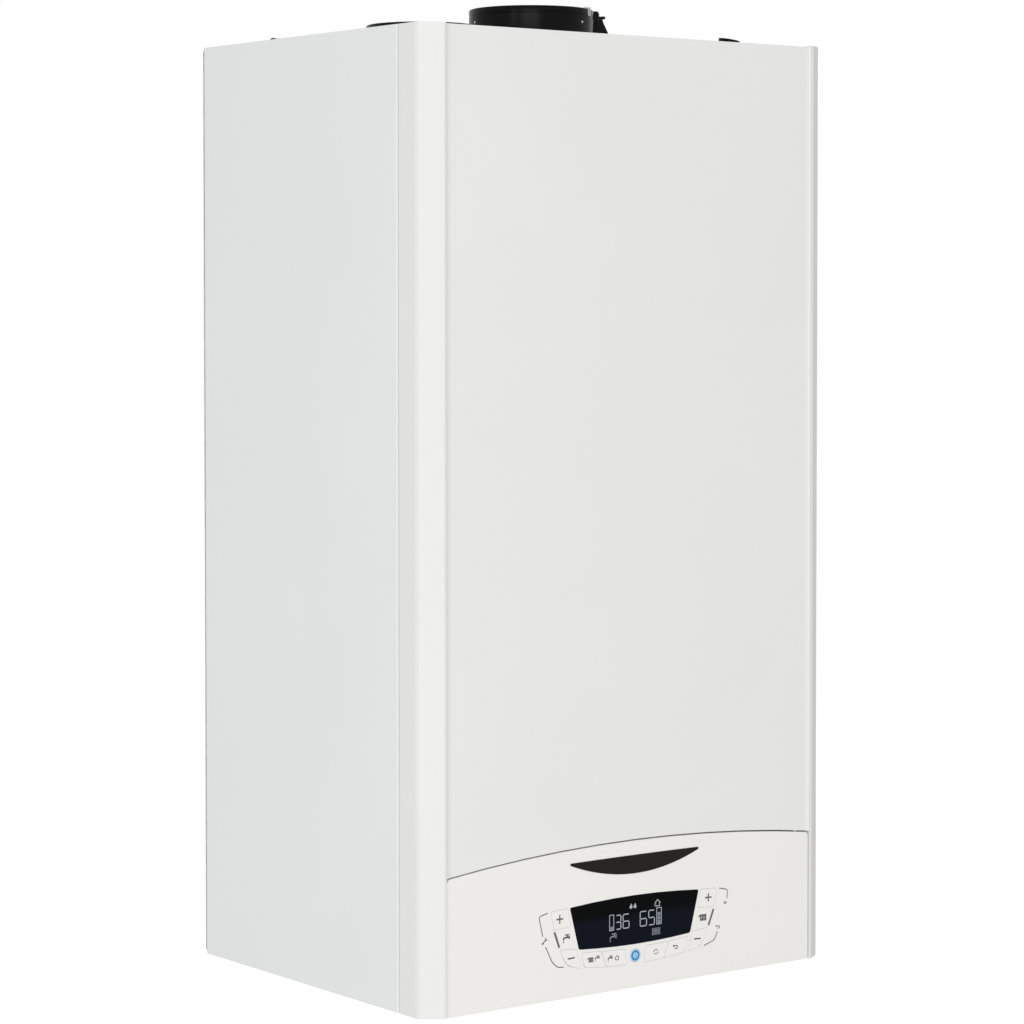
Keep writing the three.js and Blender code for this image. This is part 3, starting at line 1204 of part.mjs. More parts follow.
function flowBlock() {
  const y = -TAILS_FROM_WALL;
  const riser = rod('z', 13, BLOCK_HEIGHT, DIVERTER_TOP, [DIVERTER_X, y, 0]);
  const socketFoot = DIVERTER_TOP - SOCKET_DEPTH;
  const socket = rod('z', WATER_PIPE_RADIUS + PASS, socketFoot, DIVERTER_TOP + 1, [DIVERTER_X, y, 0]);
  const chamber = rod('y', 18, y + 12, DIVERTER_FACE, [DIVERTER_X, 0, BLOCK_HEIGHT]);
  const hollow = rod('y', 12, y + 6, DIVERTER_FACE - 1, [DIVERTER_X, 0, BLOCK_HEIGHT]);
  return cut(join(waterBlock(-1), riser, chamber), socket, hollow);
}

function returnBlock() {
  const y = -TAILS_FROM_WALL;
  const riser = rod('z', 14, BLOCK_HEIGHT, PUMP_FOOT - FIT, [PUMP_X, y + 5, 0]);
  const vesselPort = rod('y', 8, y, VESSEL_PORT_Y - FIT, [VESSEL_PIPE_X, 0, BLOCK_HEIGHT], COARSE);
  return join(waterBlock(1), riser, vesselPort);
}

// The valve disc and its stem, which the diverter motor pushes from one seat to the other
function diverterSpindle() {
  const start = -TAILS_FROM_WALL + 3;
  return turned('y', [
    [0, start], [11.5, start], [11.5, start - 4], [SHAFT_RADIUS, start - 5],
    [SHAFT_RADIUS, DIVERTER_FACE - 14], [0, DIVERTER_FACE - 14],
  ], [DIVERTER_X, 0, BLOCK_HEIGHT]);
}

function diverterMotor() {
  const rear = DIVERTER_FACE - FIT;
  const shape = rectangle(DIVERTER_X - 16, DIVERTER_X + 16, BLOCK_HEIGHT - 20, BLOCK_HEIGHT + 38, 6);
  const body = drawn('y', shape, rear - 3, rear - 42);
  const neck = rod('y', 15, rear, rear - 4, [DIVERTER_X, 0, BLOCK_HEIGHT]);
  const boreEnd = rear - 18 - SPINDLE_TRAVEL;
  const bore = rod('y', SHAFT_RADIUS + FIT, rear + 1, boreEnd, [DIVERTER_X, 0, BLOCK_HEIGHT]);
  return cut(join(body, neck), bore);
}

function plateExchanger() {
  const half = TAIL_PITCH + 17;
  const [low, high] = [BLOCK_HEIGHT - 30, BLOCK_HEIGHT + 40];
  const depth = PLATE_COUNT * PLATE_PITCH;
  const coreShape = rectangle(-half + 3, half - 3, low + 3, high - 3, 10);
  const core = drawn('y', coreShape, PLATES_REAR, PLATES_REAR - depth);
  const plates = Array.from({ length: PLATE_COUNT }, (unused, i) => {
    const rear = PLATES_REAR - i * PLATE_PITCH;
    return drawn('y', rectangle(-half, half, low, high, 12), rear, rear - PLATE_PITCH / 2);
  });
  return join(core, ...plates);
}

function pumpBody() {
  const [rear, front] = [PUMP_REAR, PUMP_FACE];
  const volute = turned('y', [
    [0, rear], [PUMP_RADIUS - 8, rear], [PUMP_RADIUS, rear - 8], [PUMP_RADIUS, front], [0, front],
  ], [PUMP_X, 0, PUMP_HEIGHT], FINE);
  const foot = rod('z', 14, PUMP_FOOT, PUMP_HEIGHT, [PUMP_X, -TAILS_FROM_WALL + 5, 0]);
  const outletAt = [RETURN_PIPE_X, -TAILS_FROM_WALL, 0];
  const outlet = rod('z', WATER_PIPE_RADIUS + 4, PUMP_HEIGHT, PUMP_OUTLET, outletAt);
  const socket = rod('z', WATER_PIPE_RADIUS + PASS, PUMP_OUTLET - SOCKET_DEPTH, PUMP_OUTLET + 1, outletAt);
  const hollow = rod('y', ROTOR_RADIUS + 4, front + 18, front - 1, [PUMP_X, 0, PUMP_HEIGHT], FINE);
  return cut(join(volute, foot, outlet), socket, hollow);
}

function pumpRotor() {
  const rear = PUMP_FACE + 15;
  const at = [PUMP_X, 0, PUMP_HEIGHT];
  const plate = rod('y', ROTOR_RADIUS, rear, rear - 2, at);
  const front = ring('y', ROTOR_RADIUS, ROTOR_EYE, rear - 10, rear - 12, at);
  const hub = rod('y', 6, rear - 1, rear - 13, at, COARSE);
  const shaft = rod('y', SHAFT_RADIUS, rear - 12, PUMP_FACE - 30, at, COARSE);
  const shape = { start: 5, end: ROTOR_RADIUS - 1, lean: 1, thickness: 1.8 };
  const wheel = { x: PUMP_X, z: PUMP_HEIGHT, blades: ROTOR_BLADES, ...shape };
  return join(plate, front, hub, shaft, ...bladeRing(wheel, rear - 1, rear - 11));
}

function pumpMotor() {
  const rear = PUMP_FACE - FIT;
  const at = [PUMP_X, 0, PUMP_HEIGHT];
  const can = turned('y', [
    [0, rear], [PUMP_RADIUS, rear], [PUMP_RADIUS, rear - 6], [PUMP_RADIUS - 5, rear - 9],
    [PUMP_RADIUS - 5, rear - 50], [PUMP_RADIUS - 9, rear - 56], [0, rear - 56],
  ], at, FINE);
  const boxShape = rectangle(PUMP_X - 24, PUMP_X + 24, PUMP_HEIGHT + 28, PUMP_HEIGHT + 46, 3);
  const terminals = drawn('y', boxShape, rear - 12, rear - 48);
  return cut(join(can, terminals), rod('y', SHAFT_RADIUS + FIT, rear + 1, rear - 34, at));
}

function flowPipe() {
  const y = -TAILS_FROM_WALL;
  const top = DRUM_HEIGHT;
  const foot = DIVERTER_TOP - SOCKET_DEPTH + FIT;
  const run = pipe([
    [DIVERTER_X, y, foot], [DIVERTER_X, y, foot + 45], [FLOW_PIPE_X, y, foot + 75], [FLOW_PIPE_X, y, top],
    [-PORT_REACH - FIT, y, top],
  ], WATER_PIPE_RADIUS, 14);
  return join(run, rod('z', 6, top, top + VENT_RISE, [FLOW_PIPE_X, y, 0], COARSE));
}

function returnPipe() {
  const y = -TAILS_FROM_WALL;
  const top = DRUM_HEIGHT - RETURN_PORT_DROP;
  const foot = PUMP_OUTLET - SOCKET_DEPTH + FIT;
  const corners = [[RETURN_PIPE_X, y, foot], [RETURN_PIPE_X, y, top], [PORT_REACH + FIT, y, top]];
  return pipe(corners, WATER_PIPE_RADIUS, 14);
}

function gasPipe() {
  const y = -TAILS_FROM_WALL;
  const top = DRUM_HEIGHT - FAN_DROP - 28 - FIT;
  const turn = CHAMBER_FLOOR - 22;
  const run = pipe([
    [GAS_VALVE_X, GAS_VALVE_Y, top], [GAS_VALVE_X, GAS_VALVE_Y, turn], [0, y, turn], [0, y, -TAIL_DROP],
  ], GAS_PIPE_RADIUS, 22);
  const nut = drawn('z', nutOutline(2 * GAS_PIPE_RADIUS + 10, 0, y), -NUT_DEPTH, -FIT);
  return cut(join(run, nut), rod('z', GAS_PIPE_RADIUS - TAIL_WALL, -TAIL_DROP - 1, 20, [0, y, 0], COARSE));
}

function expansionVessel() {
  const rear = VESSEL_REAR;
  const [radius, depth] = [VESSEL_RADIUS, VESSEL_DEPTH];
  const middle = rear - depth / 2;
  const at = [0, 0, VESSEL_HEIGHT];
  const dish = turned('y', [
    [0, rear], [radius * 0.7, rear - 2], [radius - 14, rear - 10], [radius - 5, middle + 3],
    [radius, middle + 3], [radius, middle - 3], [radius - 5, middle - 3], [radius - 14, rear - depth + 10],
    [radius * 0.7, rear - depth + 2], [0, rear - depth],
  ], at, FINE);
  const [innerRear, innerFront] = [rear - VESSEL_WALL, rear - depth + VESSEL_WALL];
  const [bend, reach] = [radius - 14 - VESSEL_WALL, radius - 5 - VESSEL_WALL];
  const hollow = turned('y', [
    [0, innerRear], [radius * 0.7, innerRear - 2], [bend, innerRear - 10], [reach, middle],
    [bend, innerFront + 10], [radius * 0.7, innerFront + 2], [0, innerFront],
  ], at, FINE);
  const portAt = [VESSEL_PIPE_X, VESSEL_MIDDLE, 0];
  const portTop = VESSEL_PORT_HEIGHT + 35;
  const port = rod('z', VESSEL_PIPE_RADIUS + 3, VESSEL_PORT_HEIGHT, portTop, portAt, COARSE);
  const portBore = rod('z', VESSEL_PIPE_RADIUS - 1, VESSEL_PORT_HEIGHT - 1, portTop + 1, portAt, COARSE);
  return cut(join(cut(dish, hollow), port), portBore);
}

function vesselPipe() {
  return pipe([
    [VESSEL_PIPE_X, VESSEL_MIDDLE, VESSEL_PORT_HEIGHT - FIT], [VESSEL_PIPE_X, VESSEL_MIDDLE, BLOCK_HEIGHT],
    [VESSEL_PIPE_X, VESSEL_PORT_Y, BLOCK_HEIGHT],
  ], VESSEL_PIPE_RADIUS, 20);
}

function reliefValve() {
  const y = -TAILS_FROM_WALL;
  const height = RELIEF_HEIGHT;
  const arm = rod('x', 8, 2 * TAIL_PITCH + HEATING_TAIL + FIT, RELIEF_X, [0, y, height]);
  const body = rod('y', 13, y + 12, RELIEF_FACE, [RELIEF_X, 0, height]);
  const outlet = rod('z', RELIEF_RADIUS, -OUTLET_DROP, height, [RELIEF_X, y, 0]);
  const bore = rod('z', RELIEF_RADIUS - TAIL_WALL, -OUTLET_DROP - 1, 10, [RELIEF_X, y, 0]);
  const spindle = rod('y', 4, RELIEF_FACE + 1, RELIEF_FACE - 12, [RELIEF_X, 0, height], COARSE);
  return cut(join(arm, body, outlet, spindle), bore);
}

// Knurled knob that lifts the relief valve off its seat
function reliefKnob() {
  const rear = RELIEF_FACE - FIT;
  const at = [RELIEF_X, 0, RELIEF_HEIGHT];
  const grip = turned('y', [
    [0, rear], [13, rear], [14.5, rear - 3], [13, rear - 17], [10, rear - 19], [0, rear - 19],
  ], at);
  const grooves = Array.from({ length: 8 }, (unused, i) => {
    const angle = (Math.PI / 4) * i;
    const place = [RELIEF_X + 16 * Math.cos(angle), 0, RELIEF_HEIGHT + 16 * Math.sin(angle)];
    return rod('y', 3.2, rear - 4, rear - 22, place, 8);
  });
  return cut(grip, rod('y', 4 + PASS, rear + 1, rear - 12.5, at, SIDES), ...grooves);
}

function condensateTrap() {
  const bottle = turned('z', [
    [0, 22], [TRAP_RADIUS - 6, 22], [TRAP_RADIUS, 30], [TRAP_RADIUS, 92],
    [TRAP_RADIUS + 3, 94], [TRAP_RADIUS + 3, 104], [TRAP_RADIUS, 106],
    [TRAP_RADIUS, 170], [TRAP_RADIUS - 8, 184], [0, 184],
  ], [TRAP_X, TRAP_Y, 0]);
  const outlet = rod('z', TRAP_OUTLET, -OUTLET_DROP, 30, [TRAP_X, TRAP_Y, 0]);
  const bore = rod('z', TRAP_OUTLET - 2, -OUTLET_DROP - 1, 12, [TRAP_X, TRAP_Y, 0]);
  const drainFoot = DRUM_HEIGHT - DRUM_RADIUS + 4 - FIT;
  const bend = drainFoot - 45;
  const drain = pipe([
    [TRAP_X, TRAP_Y, 180], [TRAP_X, TRAP_Y, bend],
    [DRAIN_X, DRAIN_Y, drainFoot - 20], [DRAIN_X, DRAIN_Y, drainFoot],
  ], DRAIN_RADIUS, 10);
  return cut(join(bottle, outlet, drain), bore);
}

function airVent() {
  const foot = DRUM_HEIGHT + VENT_RISE + FIT;
  return turned('z', [
    [0, foot], [8, foot], [8, foot + 6], [12, foot + 9], [12, foot + 40], [9, foot + 44],
    [4, foot + 45], [4, foot + 52], [0, foot + 52],
  ], [FLOW_PIPE_X, -TAILS_FROM_WALL, 0]);
}

function waterSide() {
  return assembly(
    [0, 0, 0],
    piece('expansion_vessel', expansionVessel(), FINISHES.vesselRed),
    piece('vessel_pipe', vesselPipe(), FINISHES.copper),
    piece('flow_block', flowBlock(), FINISHES.brass),
    piece('return_block', returnBlock(), FINISHES.brass),
    piece('plate_exchanger', plateExchanger(), FINISHES.stainless),
    piece('diverter_motor', diverterMotor(), FINISHES.darkPlastic),
    piece('diverter_spindle', diverterSpindle(), FINISHES.stainless),
    piece('pump_body', pumpBody(), FINISHES.castAluminium),
    piece('pump_rotor', pumpRotor(), FINISHES.greyPlastic),
    piece('pump_motor', pumpMotor(), FINISHES.darkPlastic),
    piece('flow_pipe', flowPipe(), FINISHES.copper),
    piece('return_pipe', returnPipe(), FINISHES.copper),
    piece('gas_pipe', gasPipe(), FINISHES.copper),
    piece('relief_valve', reliefValve(), FINISHES.brass),
    piece('relief_knob', reliefKnob(), FINISHES.vesselRed),
    piece('condensate_trap', condensateTrap(), FINISHES.greyPlastic),
    piece('air_vent', airVent(), FINISHES.brass),
  );
}

function chamber() {
  return assembly(
    [0, 0, 0],
    piece('chamber_box', chamberBox(), FINISHES.zincSheet),
    piece('chamber_seal', chamberSeal(), FINISHES.rubber),
    piece('chamber_cover', chamberCover(), FINISHES.zincSheet),
  );
}

// ------------------------------------------------------------------ the whole boiler
const boiler = assembly(
  [0, 0, HANG_DROP - CASE_HEIGHT],
  frontCasing(),
  controlPanel(),
  frame(),
  topFittings(),
  chamber(),
  burnerSide(),
  waterSide(),
);
boiler.name = 'combi_boiler';

export default boiler;
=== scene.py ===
"""Looks of a wall-hung combi boiler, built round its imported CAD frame.

The wall is the plane Y = 0, the front faces -Y and the pipes leave downwards. Lengths are
in metres. Drawings on the control panel are written in millimetres from the casing's lower
edge, and Bench.plate brings them to their place.
"""

import json
import logging
import math
from collections.abc import Iterable, Sequence
from dataclasses import dataclass
from enum import Enum

import bmesh
import bpy
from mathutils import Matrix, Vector

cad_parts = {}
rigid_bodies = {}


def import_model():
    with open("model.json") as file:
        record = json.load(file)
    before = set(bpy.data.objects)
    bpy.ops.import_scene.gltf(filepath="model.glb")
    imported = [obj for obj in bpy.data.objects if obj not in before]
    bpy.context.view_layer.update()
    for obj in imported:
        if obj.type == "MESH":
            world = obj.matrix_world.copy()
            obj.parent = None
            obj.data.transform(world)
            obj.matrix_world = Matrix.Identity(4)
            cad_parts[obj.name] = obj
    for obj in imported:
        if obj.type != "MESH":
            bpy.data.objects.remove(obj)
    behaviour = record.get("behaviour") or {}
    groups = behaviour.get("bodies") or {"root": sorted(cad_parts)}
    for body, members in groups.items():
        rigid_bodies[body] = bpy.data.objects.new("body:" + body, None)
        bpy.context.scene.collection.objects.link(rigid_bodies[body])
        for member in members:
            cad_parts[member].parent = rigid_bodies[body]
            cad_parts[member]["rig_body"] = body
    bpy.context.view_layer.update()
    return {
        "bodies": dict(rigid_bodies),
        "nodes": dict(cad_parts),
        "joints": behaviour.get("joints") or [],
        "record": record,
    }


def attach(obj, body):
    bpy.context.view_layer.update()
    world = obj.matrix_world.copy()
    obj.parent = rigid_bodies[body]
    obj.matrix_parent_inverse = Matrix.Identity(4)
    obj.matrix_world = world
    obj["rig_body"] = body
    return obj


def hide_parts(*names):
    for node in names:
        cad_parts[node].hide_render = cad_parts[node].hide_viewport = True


Point = tuple[float, float]
Outline = list[Point]
Colour = tuple[float, float, float]
Frame = tuple[float, float, float, float]  # left, right, foot and top
Place = Sequence[float]  # three numbers, along X, Y and Z
Piece = bpy.types.Object
Socket = bpy.types.NodeSocket

MM = 0.001
CASE_FOOT = -0.7  # height of the casing's lower edge
FASCIA_FACE = -0.3177
KEY_FACE = -0.3179
PRINT_HEIGHT = 0.00005
MERGE_DISTANCE = 0.000001
SMOOTH_ANGLE = 35.0
EDGE_ANGLE = 32.0  # edges sharper than this are rounded
CIRCLE_END = 352.5  # last point of a closed circle of 48 points
COLOUR_A, COLOUR_B, COLOUR_OUT = 6, 7, 2  # sockets of a node that mixes colours

log = logging.getLogger("boiler")


# ---------------------------------------------------------------- finishes
class Grain(Enum):
    """Surface structure of a finish."""

    POWDER = "powder coat"
    MOULDED = "moulded"
    POLISHED = "polished"
    CAST = "cast"
    SPANGLE = "zinc spangle"
    DRAWN = "drawn"


@dataclass(frozen=True)
class Finish:
    """A finish that a piece can take."""

    name: str
    colour: Colour
    roughness: float
    grain: Grain
    grain_size: float = 0.0012
    relief: float = 0.00001
    drift: float = 0.02
    metallic: float = 0.0
    specular: float = 0.5
    coat: float = 0.0
    glow: float = 0.0
    upper: Colour | None = None  # colour above a height, where it differs
    fade_from: float = 0.0
    fade_to: float = 0.0

    def material(self) -> bpy.types.Material:
        """Make the material, or find it if it is made.

        Returns:
            The node material of this finish.
        """
        if self not in MADE:
            made = bpy.data.materials.new(f"{self.name}_finish")
            made.use_nodes = True
            Weave(made, self).connect()
            MADE[self] = made
        return MADE[self]


MADE: dict[Finish, bpy.types.Material] = {}  # materials by finish, each made once


class Weave:
    """Joins the nodes of one finish's material."""

    noise_range: Point = (0.25, 0.75)  # where most of the noise lies
    rough_share: Point = (0.92, 1.08)
    broad_size: float = 0.12
    coat_roughness: float = 0.08
    details: dict[Grain, float] = {Grain.DRAWN: 3.0, Grain.CAST: 5.0}  # 1 for the other grains
    drawn_stretch: Place = (1.0, 1.0, 0.06)

    def __init__(self, material: bpy.types.Material, finish: Finish) -> None:
        """Keep the material and the finish that it takes.

        Args:
            material: New node material.
            finish: Finish to show.
        """
        self.finish = finish
        self.tree = material.node_tree
        self.shader = self.tree.nodes["Principled BSDF"]
        self.place = self.tree.nodes.new("ShaderNodeTexCoord").outputs["Object"]

    def node(self, kind: str, **inputs: object) -> bpy.types.Node:
        """Add a node and set its inputs.

        Args:
            kind: Blender's name of the node.
            inputs: Values or sockets for inputs, with _ for a space in the name.

        Returns:
            The new node.
        """
        made = self.tree.nodes.new(kind)
        for name, value in inputs.items():
            socket = made.inputs[name.replace("_", " ")]
            if isinstance(value, Socket):
                self.tree.links.new(value, socket)
            else:
                socket.default_value = value
        return made

    def noise(self, size: float, detail: float = 2.0, stretch: Place = (1, 1, 1)) -> Socket:
        """Add noise on the object's own coordinates.

        Args:
            size: Width of a patch in metres.
            detail: Number of finer layers.
            stretch: Scale along each axis.

        Returns:
            The noise value, from 0 to 1.
        """
        mapping = self.node("ShaderNodeMapping", Vector=self.place, Scale=tuple(stretch))
        made = self.node("ShaderNodeTexNoise", Vector=mapping.outputs[0], Scale=1 / size, Detail=detail)
        return made.outputs["Fac"]

    def spread(self, value: Socket, low: float, high: float) -> Socket:
        """Bring a 0 to 1 value to a range.

        Args:
            value: Socket to read.
            low: Result where the value is low.
            high: Result where the value is high.

        Returns:
            The new value.
        """
        start, end = self.noise_range
        made = self.node(
            "ShaderNodeMapRange", Value=value, From_Min=start, From_Max=end, To_Min=low, To_Max=high
        )
        return made.outputs[0]

    def structure(self) -> Socket:
        """Make the height pattern of the finish's grain.

        Returns:
            The pattern's value, from 0 to 1.
        """
        size, grain = self.finish.grain_size, self.finish.grain
        if grain is Grain.SPANGLE:
            cells = self.node("ShaderNodeTexVoronoi", Vector=self.place, Scale=1 / size)
            tone = self.node("ShaderNodeSeparateColor", Color=cells.outputs["Color"])
            return tone.outputs[0]
        stretch = self.drawn_stretch if grain is Grain.DRAWN else (1, 1, 1)
        return self.noise(size, self.details.get(grain, 1.0), stretch)

    def tinted(self, share: Socket, drift: float) -> Socket:
        """Mix a darker and a lighter tone of the finish's colour.

        Args:
            share: How far towards the lighter tone.
            drift: Distance of each tone from the middle.

        Returns:
            The mixed colour.
        """
        shares = (1 - drift, 1 + drift)
        tones = [(*(min(1.0, c * scale) for c in self.finish.colour), 1.0) for scale in shares]
        made = self.node("ShaderNodeMix")
        made.data_type = "RGBA"
        made.inputs[COLOUR_A].default_value, made.inputs[COLOUR_B].default_value = tones
        self.tree.links.new(share, made.inputs[0])
        return made.outputs[COLOUR_OUT]

    def faded(self, colour: Socket) -> Socket:
        """Go over to the finish's upper colour with height.

        Args:
            colour: Colour below.

        Returns:
            The colour at any height.
        """
        height = self.node("ShaderNodeSeparateXYZ", Vector=self.place).outputs["Z"]
        low, high = self.finish.fade_from, self.finish.fade_to
        share = self.node("ShaderNodeMapRange", Value=height, From_Min=low, From_Max=high)
        made = self.node("ShaderNodeMix")
        made.data_type = "RGBA"
        made.inputs[COLOUR_B].default_value = (*self.finish.upper, 1.0)
        self.tree.links.new(share.outputs[0], made.inputs[0])
        self.tree.links.new(colour, made.inputs[COLOUR_A])
        return made.outputs[COLOUR_OUT]

    def connect(self) -> None:
        """Join colour, roughness and relief to the shader."""
        finish, shader = self.finish, self.shader
        pattern = self.structure()
        broad = self.noise(self.broad_size, 2.0)
        source = pattern if finish.grain in (Grain.SPANGLE, Grain.CAST) else broad
        colour = self.tinted(self.spread(source, 0.0, 1.0), finish.drift)
        if finish.upper:
            colour = self.faded(colour)
        self.tree.links.new(colour, shader.inputs["Base Color"])
        low, high = (min(1.0, finish.roughness * share) for share in self.rough_share)
        rough = self.spread(pattern, low, high)
        self.tree.links.new(rough, shader.inputs["Roughness"])
        shader.inputs["Metallic"].default_value = finish.metallic
        shader.inputs["Specular IOR Level"].default_value = finish.specular
        shader.inputs["Coat Weight"].default_value = finish.coat
        shader.inputs["Coat Roughness"].default_value = self.coat_roughness
        if finish.glow:
            shader.inputs["Emission Color"].default_value = (*finish.colour, 1.0)
            shader.inputs["Emission Strength"].default_value = finish.glow
        if finish.relief:
            bump = self.node("ShaderNodeBump", Height=pattern, Distance=finish.relief, Strength=1.0)
            self.tree.links.new(bump.outputs[0], shader.inputs["Normal"])


SIDE_PAINT = Finish("side_paint", (0.79, 0.815, 0.806), 0.42, Grain.POWDER, drift=0.008, specular=0.3)
TRIM_PAINT = Finish("trim_paint", (0.805, 0.805, 0.797), 0.45, Grain.POWDER, drift=0.006, specular=0.0)
PANEL_PAINT = Finish("panel_paint", (0.835, 0.837, 0.822), 0.42, Grain.POWDER, drift=0.008, specular=0.3)
FASCIA_PLASTIC = Finish(
    "fascia_plastic", (0.895, 0.88, 0.845), 0.48, Grain.MOULDED, 0.0007, 0.000006, 0.006, specular=0.3
)
KEY_PLASTIC = Finish(
    "key_plastic", (0.9, 0.885, 0.85), 0.5, Grain.MOULDED, 0.0006, 0.000006, 0.006, specular=0.3
)
KEY_MEMBRANE = Finish(
    "key_membrane", (0.6, 0.59, 0.565), 0.6, Grain.MOULDED, 0.0006, 0.000006, 0.02, specular=0.2
)
PRINT_GREY = Finish(
    "print_grey", (0.105, 0.105, 0.103), 0.55, Grain.MOULDED, 0.0005, 0.0, 0.05, specular=0.2
)
BAR_GREY = Finish("bar_grey", (0.125, 0.125, 0.122), 0.5, Grain.MOULDED, 0.0005, 0.0, 0.05, specular=0.2)
BLUE_LIGHT = Finish(
    "blue_light", (0.03, 0.25, 0.55), 0.35, Grain.POLISHED, 0.002, 0.0, 0.06, specular=0.2, glow=0.15
)
HALO_LIGHT = Finish("halo_light", (0.6, 0.8, 0.88), 0.45, Grain.POLISHED, 0.002, 0.0, 0.02, specular=0.2)
SEGMENT_LIGHT = Finish(
    "segment_light", (0.38, 0.42, 0.45), 0.5, Grain.POLISHED, 0.002, 0.0, 0.04, specular=0.1, glow=0.12
)
SEGMENT_DIM = Finish(
    "segment_dim", (0.2, 0.225, 0.25), 0.5, Grain.POLISHED, 0.002, 0.0, 0.04, specular=0.1, glow=0.1
)
LENS_SMOKE = Finish(
    "lens_smoke", (0.004, 0.006, 0.0115), 0.12, Grain.POLISHED, 0.02, 0.0, 0.12, specular=0.03,
    upper=(0.002, 0.0022, 0.0026), fade_from=-0.6452, fade_to=-0.6388,
)
BLACK_GLOSS = Finish(
    "black_gloss", (0.004, 0.004, 0.0043), 0.24, Grain.MOULDED, 0.004, 0.00001, 0.1, specular=0.07
)
BADGE_DARK = Finish(
    "badge_dark", (0.013, 0.0105, 0.0098), 0.4, Grain.POLISHED, 0.004, 0.0, 0.08, specular=0.08
)
DARK_PLASTIC = Finish(
    "dark_plastic", (0.022, 0.023, 0.025), 0.5, Grain.MOULDED, 0.0009, 0.00003, 0.08, specular=0.3
)
GREY_PLASTIC = Finish("grey_plastic", (0.27, 0.285, 0.3), 0.5, Grain.MOULDED, 0.0009, 0.00002, 0.04)
BOARD_GREEN = Finish(
    "board_green", (0.016, 0.1, 0.045), 0.35, Grain.MOULDED, 0.003, 0.00002, 0.15, coat=0.4
)
SEAL_RUBBER = Finish(
    "seal_rubber", (0.015, 0.015, 0.016), 0.75, Grain.MOULDED, 0.0012, 0.00004, 0.12, specular=0.15
)
ZINC_SHEET = Finish(
    "zinc_sheet", (0.52, 0.54, 0.55), 0.38, Grain.SPANGLE, 0.007, 0.000004, 0.09, metallic=0.9
)
CAST_ALUMINIUM = Finish(
    "cast_aluminium", (0.45, 0.46, 0.47), 0.5, Grain.CAST, 0.0012, 0.00006, 0.07, metallic=0.9
)
STAINLESS = Finish("stainless", (0.56, 0.565, 0.57), 0.3, Grain.DRAWN, 0.0007, 0.00001, 0.05, metallic=1.0)
BRASS = Finish("brass", (0.62, 0.43, 0.17), 0.33, Grain.CAST, 0.0015, 0.00003, 0.08, metallic=1.0)
COPPER = Finish("copper", (0.62, 0.27, 0.13), 0.3, Grain.DRAWN, 0.0009, 0.000008, 0.14, metallic=1.0)
VESSEL_RED = Finish("vessel_red", (0.37, 0.022, 0.026), 0.35, Grain.POWDER, 0.0015, 0.00002, 0.05)
RED_PLASTIC = Finish("red_plastic", (0.38, 0.014, 0.014), 0.3, Grain.MOULDED, 0.001, 0.00001, 0.06)
CERAMIC = Finish("ceramic", (0.8, 0.76, 0.68), 0.25, Grain.MOULDED, 0.002, 0.00002, 0.03)
STEEL_SCREW = Finish(
    "steel_screw", (0.55, 0.56, 0.58), 0.28, Grain.DRAWN, 0.0005, 0.00001, 0.06, metallic=1.0
)
BLACK_SCREW = Finish(
    "black_screw", (0.02, 0.02, 0.021), 0.4, Grain.MOULDED, 0.0006, 0.00002, 0.1, specular=0.3
)

NODE_FINISHES: dict[Finish, tuple[str, ...]] = {
    SIDE_PAINT: ("left_side_panel", "right_side_panel", "top_plate"),
    TRIM_PAINT: ("left_corner_trim", "right_corner_trim"),
    PANEL_PAINT: ("front_panel",),
    FASCIA_PLASTIC: ("control_fascia",),
    KEY_PLASTIC: (
        "key_hot_water_up", "key_hot_water_down", "key_heating_up", "key_heating_down",
        "key_mode", "key_comfort", "key_auto", "key_back", "key_power",
    ),
    LENS_SMOKE: ("display_lens",),
    BADGE_DARK: ("badge_insert",),
    BLACK_GLOSS: ("flue_collar", "intake_cap", "top_plug"),
    DARK_PLASTIC: (
        "control_housing", "test_point_cap", "ignition_box", "fan_motor", "pump_motor",
        "diverter_motor", "flue_duct", "fan_impeller",
    ),
    GREY_PLASTIC: ("display_module", "condensate_trap", "pump_rotor"),
    BOARD_GREEN: ("control_board",),
    SEAL_RUBBER: ("flue_gasket", "chamber_seal"),
    ZINC_SHEET: ("back_panel", "bottom_plate", "chamber_box", "chamber_cover"),
    CAST_ALUMINIUM: ("fan_housing", "fan_cover", "gas_mixer", "pump_body", "burner_door", "gas_valve"),
    STAINLESS: ("heat_exchanger", "burner_tube", "plate_exchanger", "diverter_spindle"),
    BRASS: ("flow_block", "return_block", "relief_valve", "air_vent"),
    COPPER: ("flow_pipe", "return_pipe", "gas_pipe", "vessel_pipe"),
    VESSEL_RED: ("expansion_vessel",),
    RED_PLASTIC: ("relief_knob",),
    CERAMIC: ("ignition_electrode",),
}


# ---------------------------------------------------------------- drawing and modelling
def arc(x: float, y: float, radius: float, start: float, end: float, steps: int = 12) -> Outline:
    """Points on an arc.

    Args:
        x: Centre across.
        y: Centre up.
        radius: Radius of the arc.
        start: First angle in degrees.
        end: Last angle in degrees.
        steps: Number of chords.

    Returns:
        The points in order.
    """
    angles = [math.radians(start + (end - start) * i / steps) for i in range(steps + 1)]
    return [(x + radius * math.cos(a), y + radius * math.sin(a)) for a in angles]


def rounded(corners: Sequence[Point], radius: float, steps: int = 5) -> Outline:
    """Round the inner corners of an open path.

    Args:
        corners: The path's corners.
        radius: How far before and after a corner the rounding reaches.
        steps: Number of chords in a rounding.

    Returns:
        The rounded path.
    """
    path = [corners[0]]
    for before, corner, after in zip(corners, corners[1:], corners[2:]):
        here = Vector(corner)
        start = here + (Vector(before) - here).normalized() * radius
        end = here + (Vector(after) - here).normalized() * radius
        for i in range(steps + 1):
            t = i / steps
            mixed = start * (1 - t) ** 2 + here * (2 * t * (1 - t)) + end * t**2
            path.append((mixed.x, mixed.y))
    path.append(corners[-1])
    return path


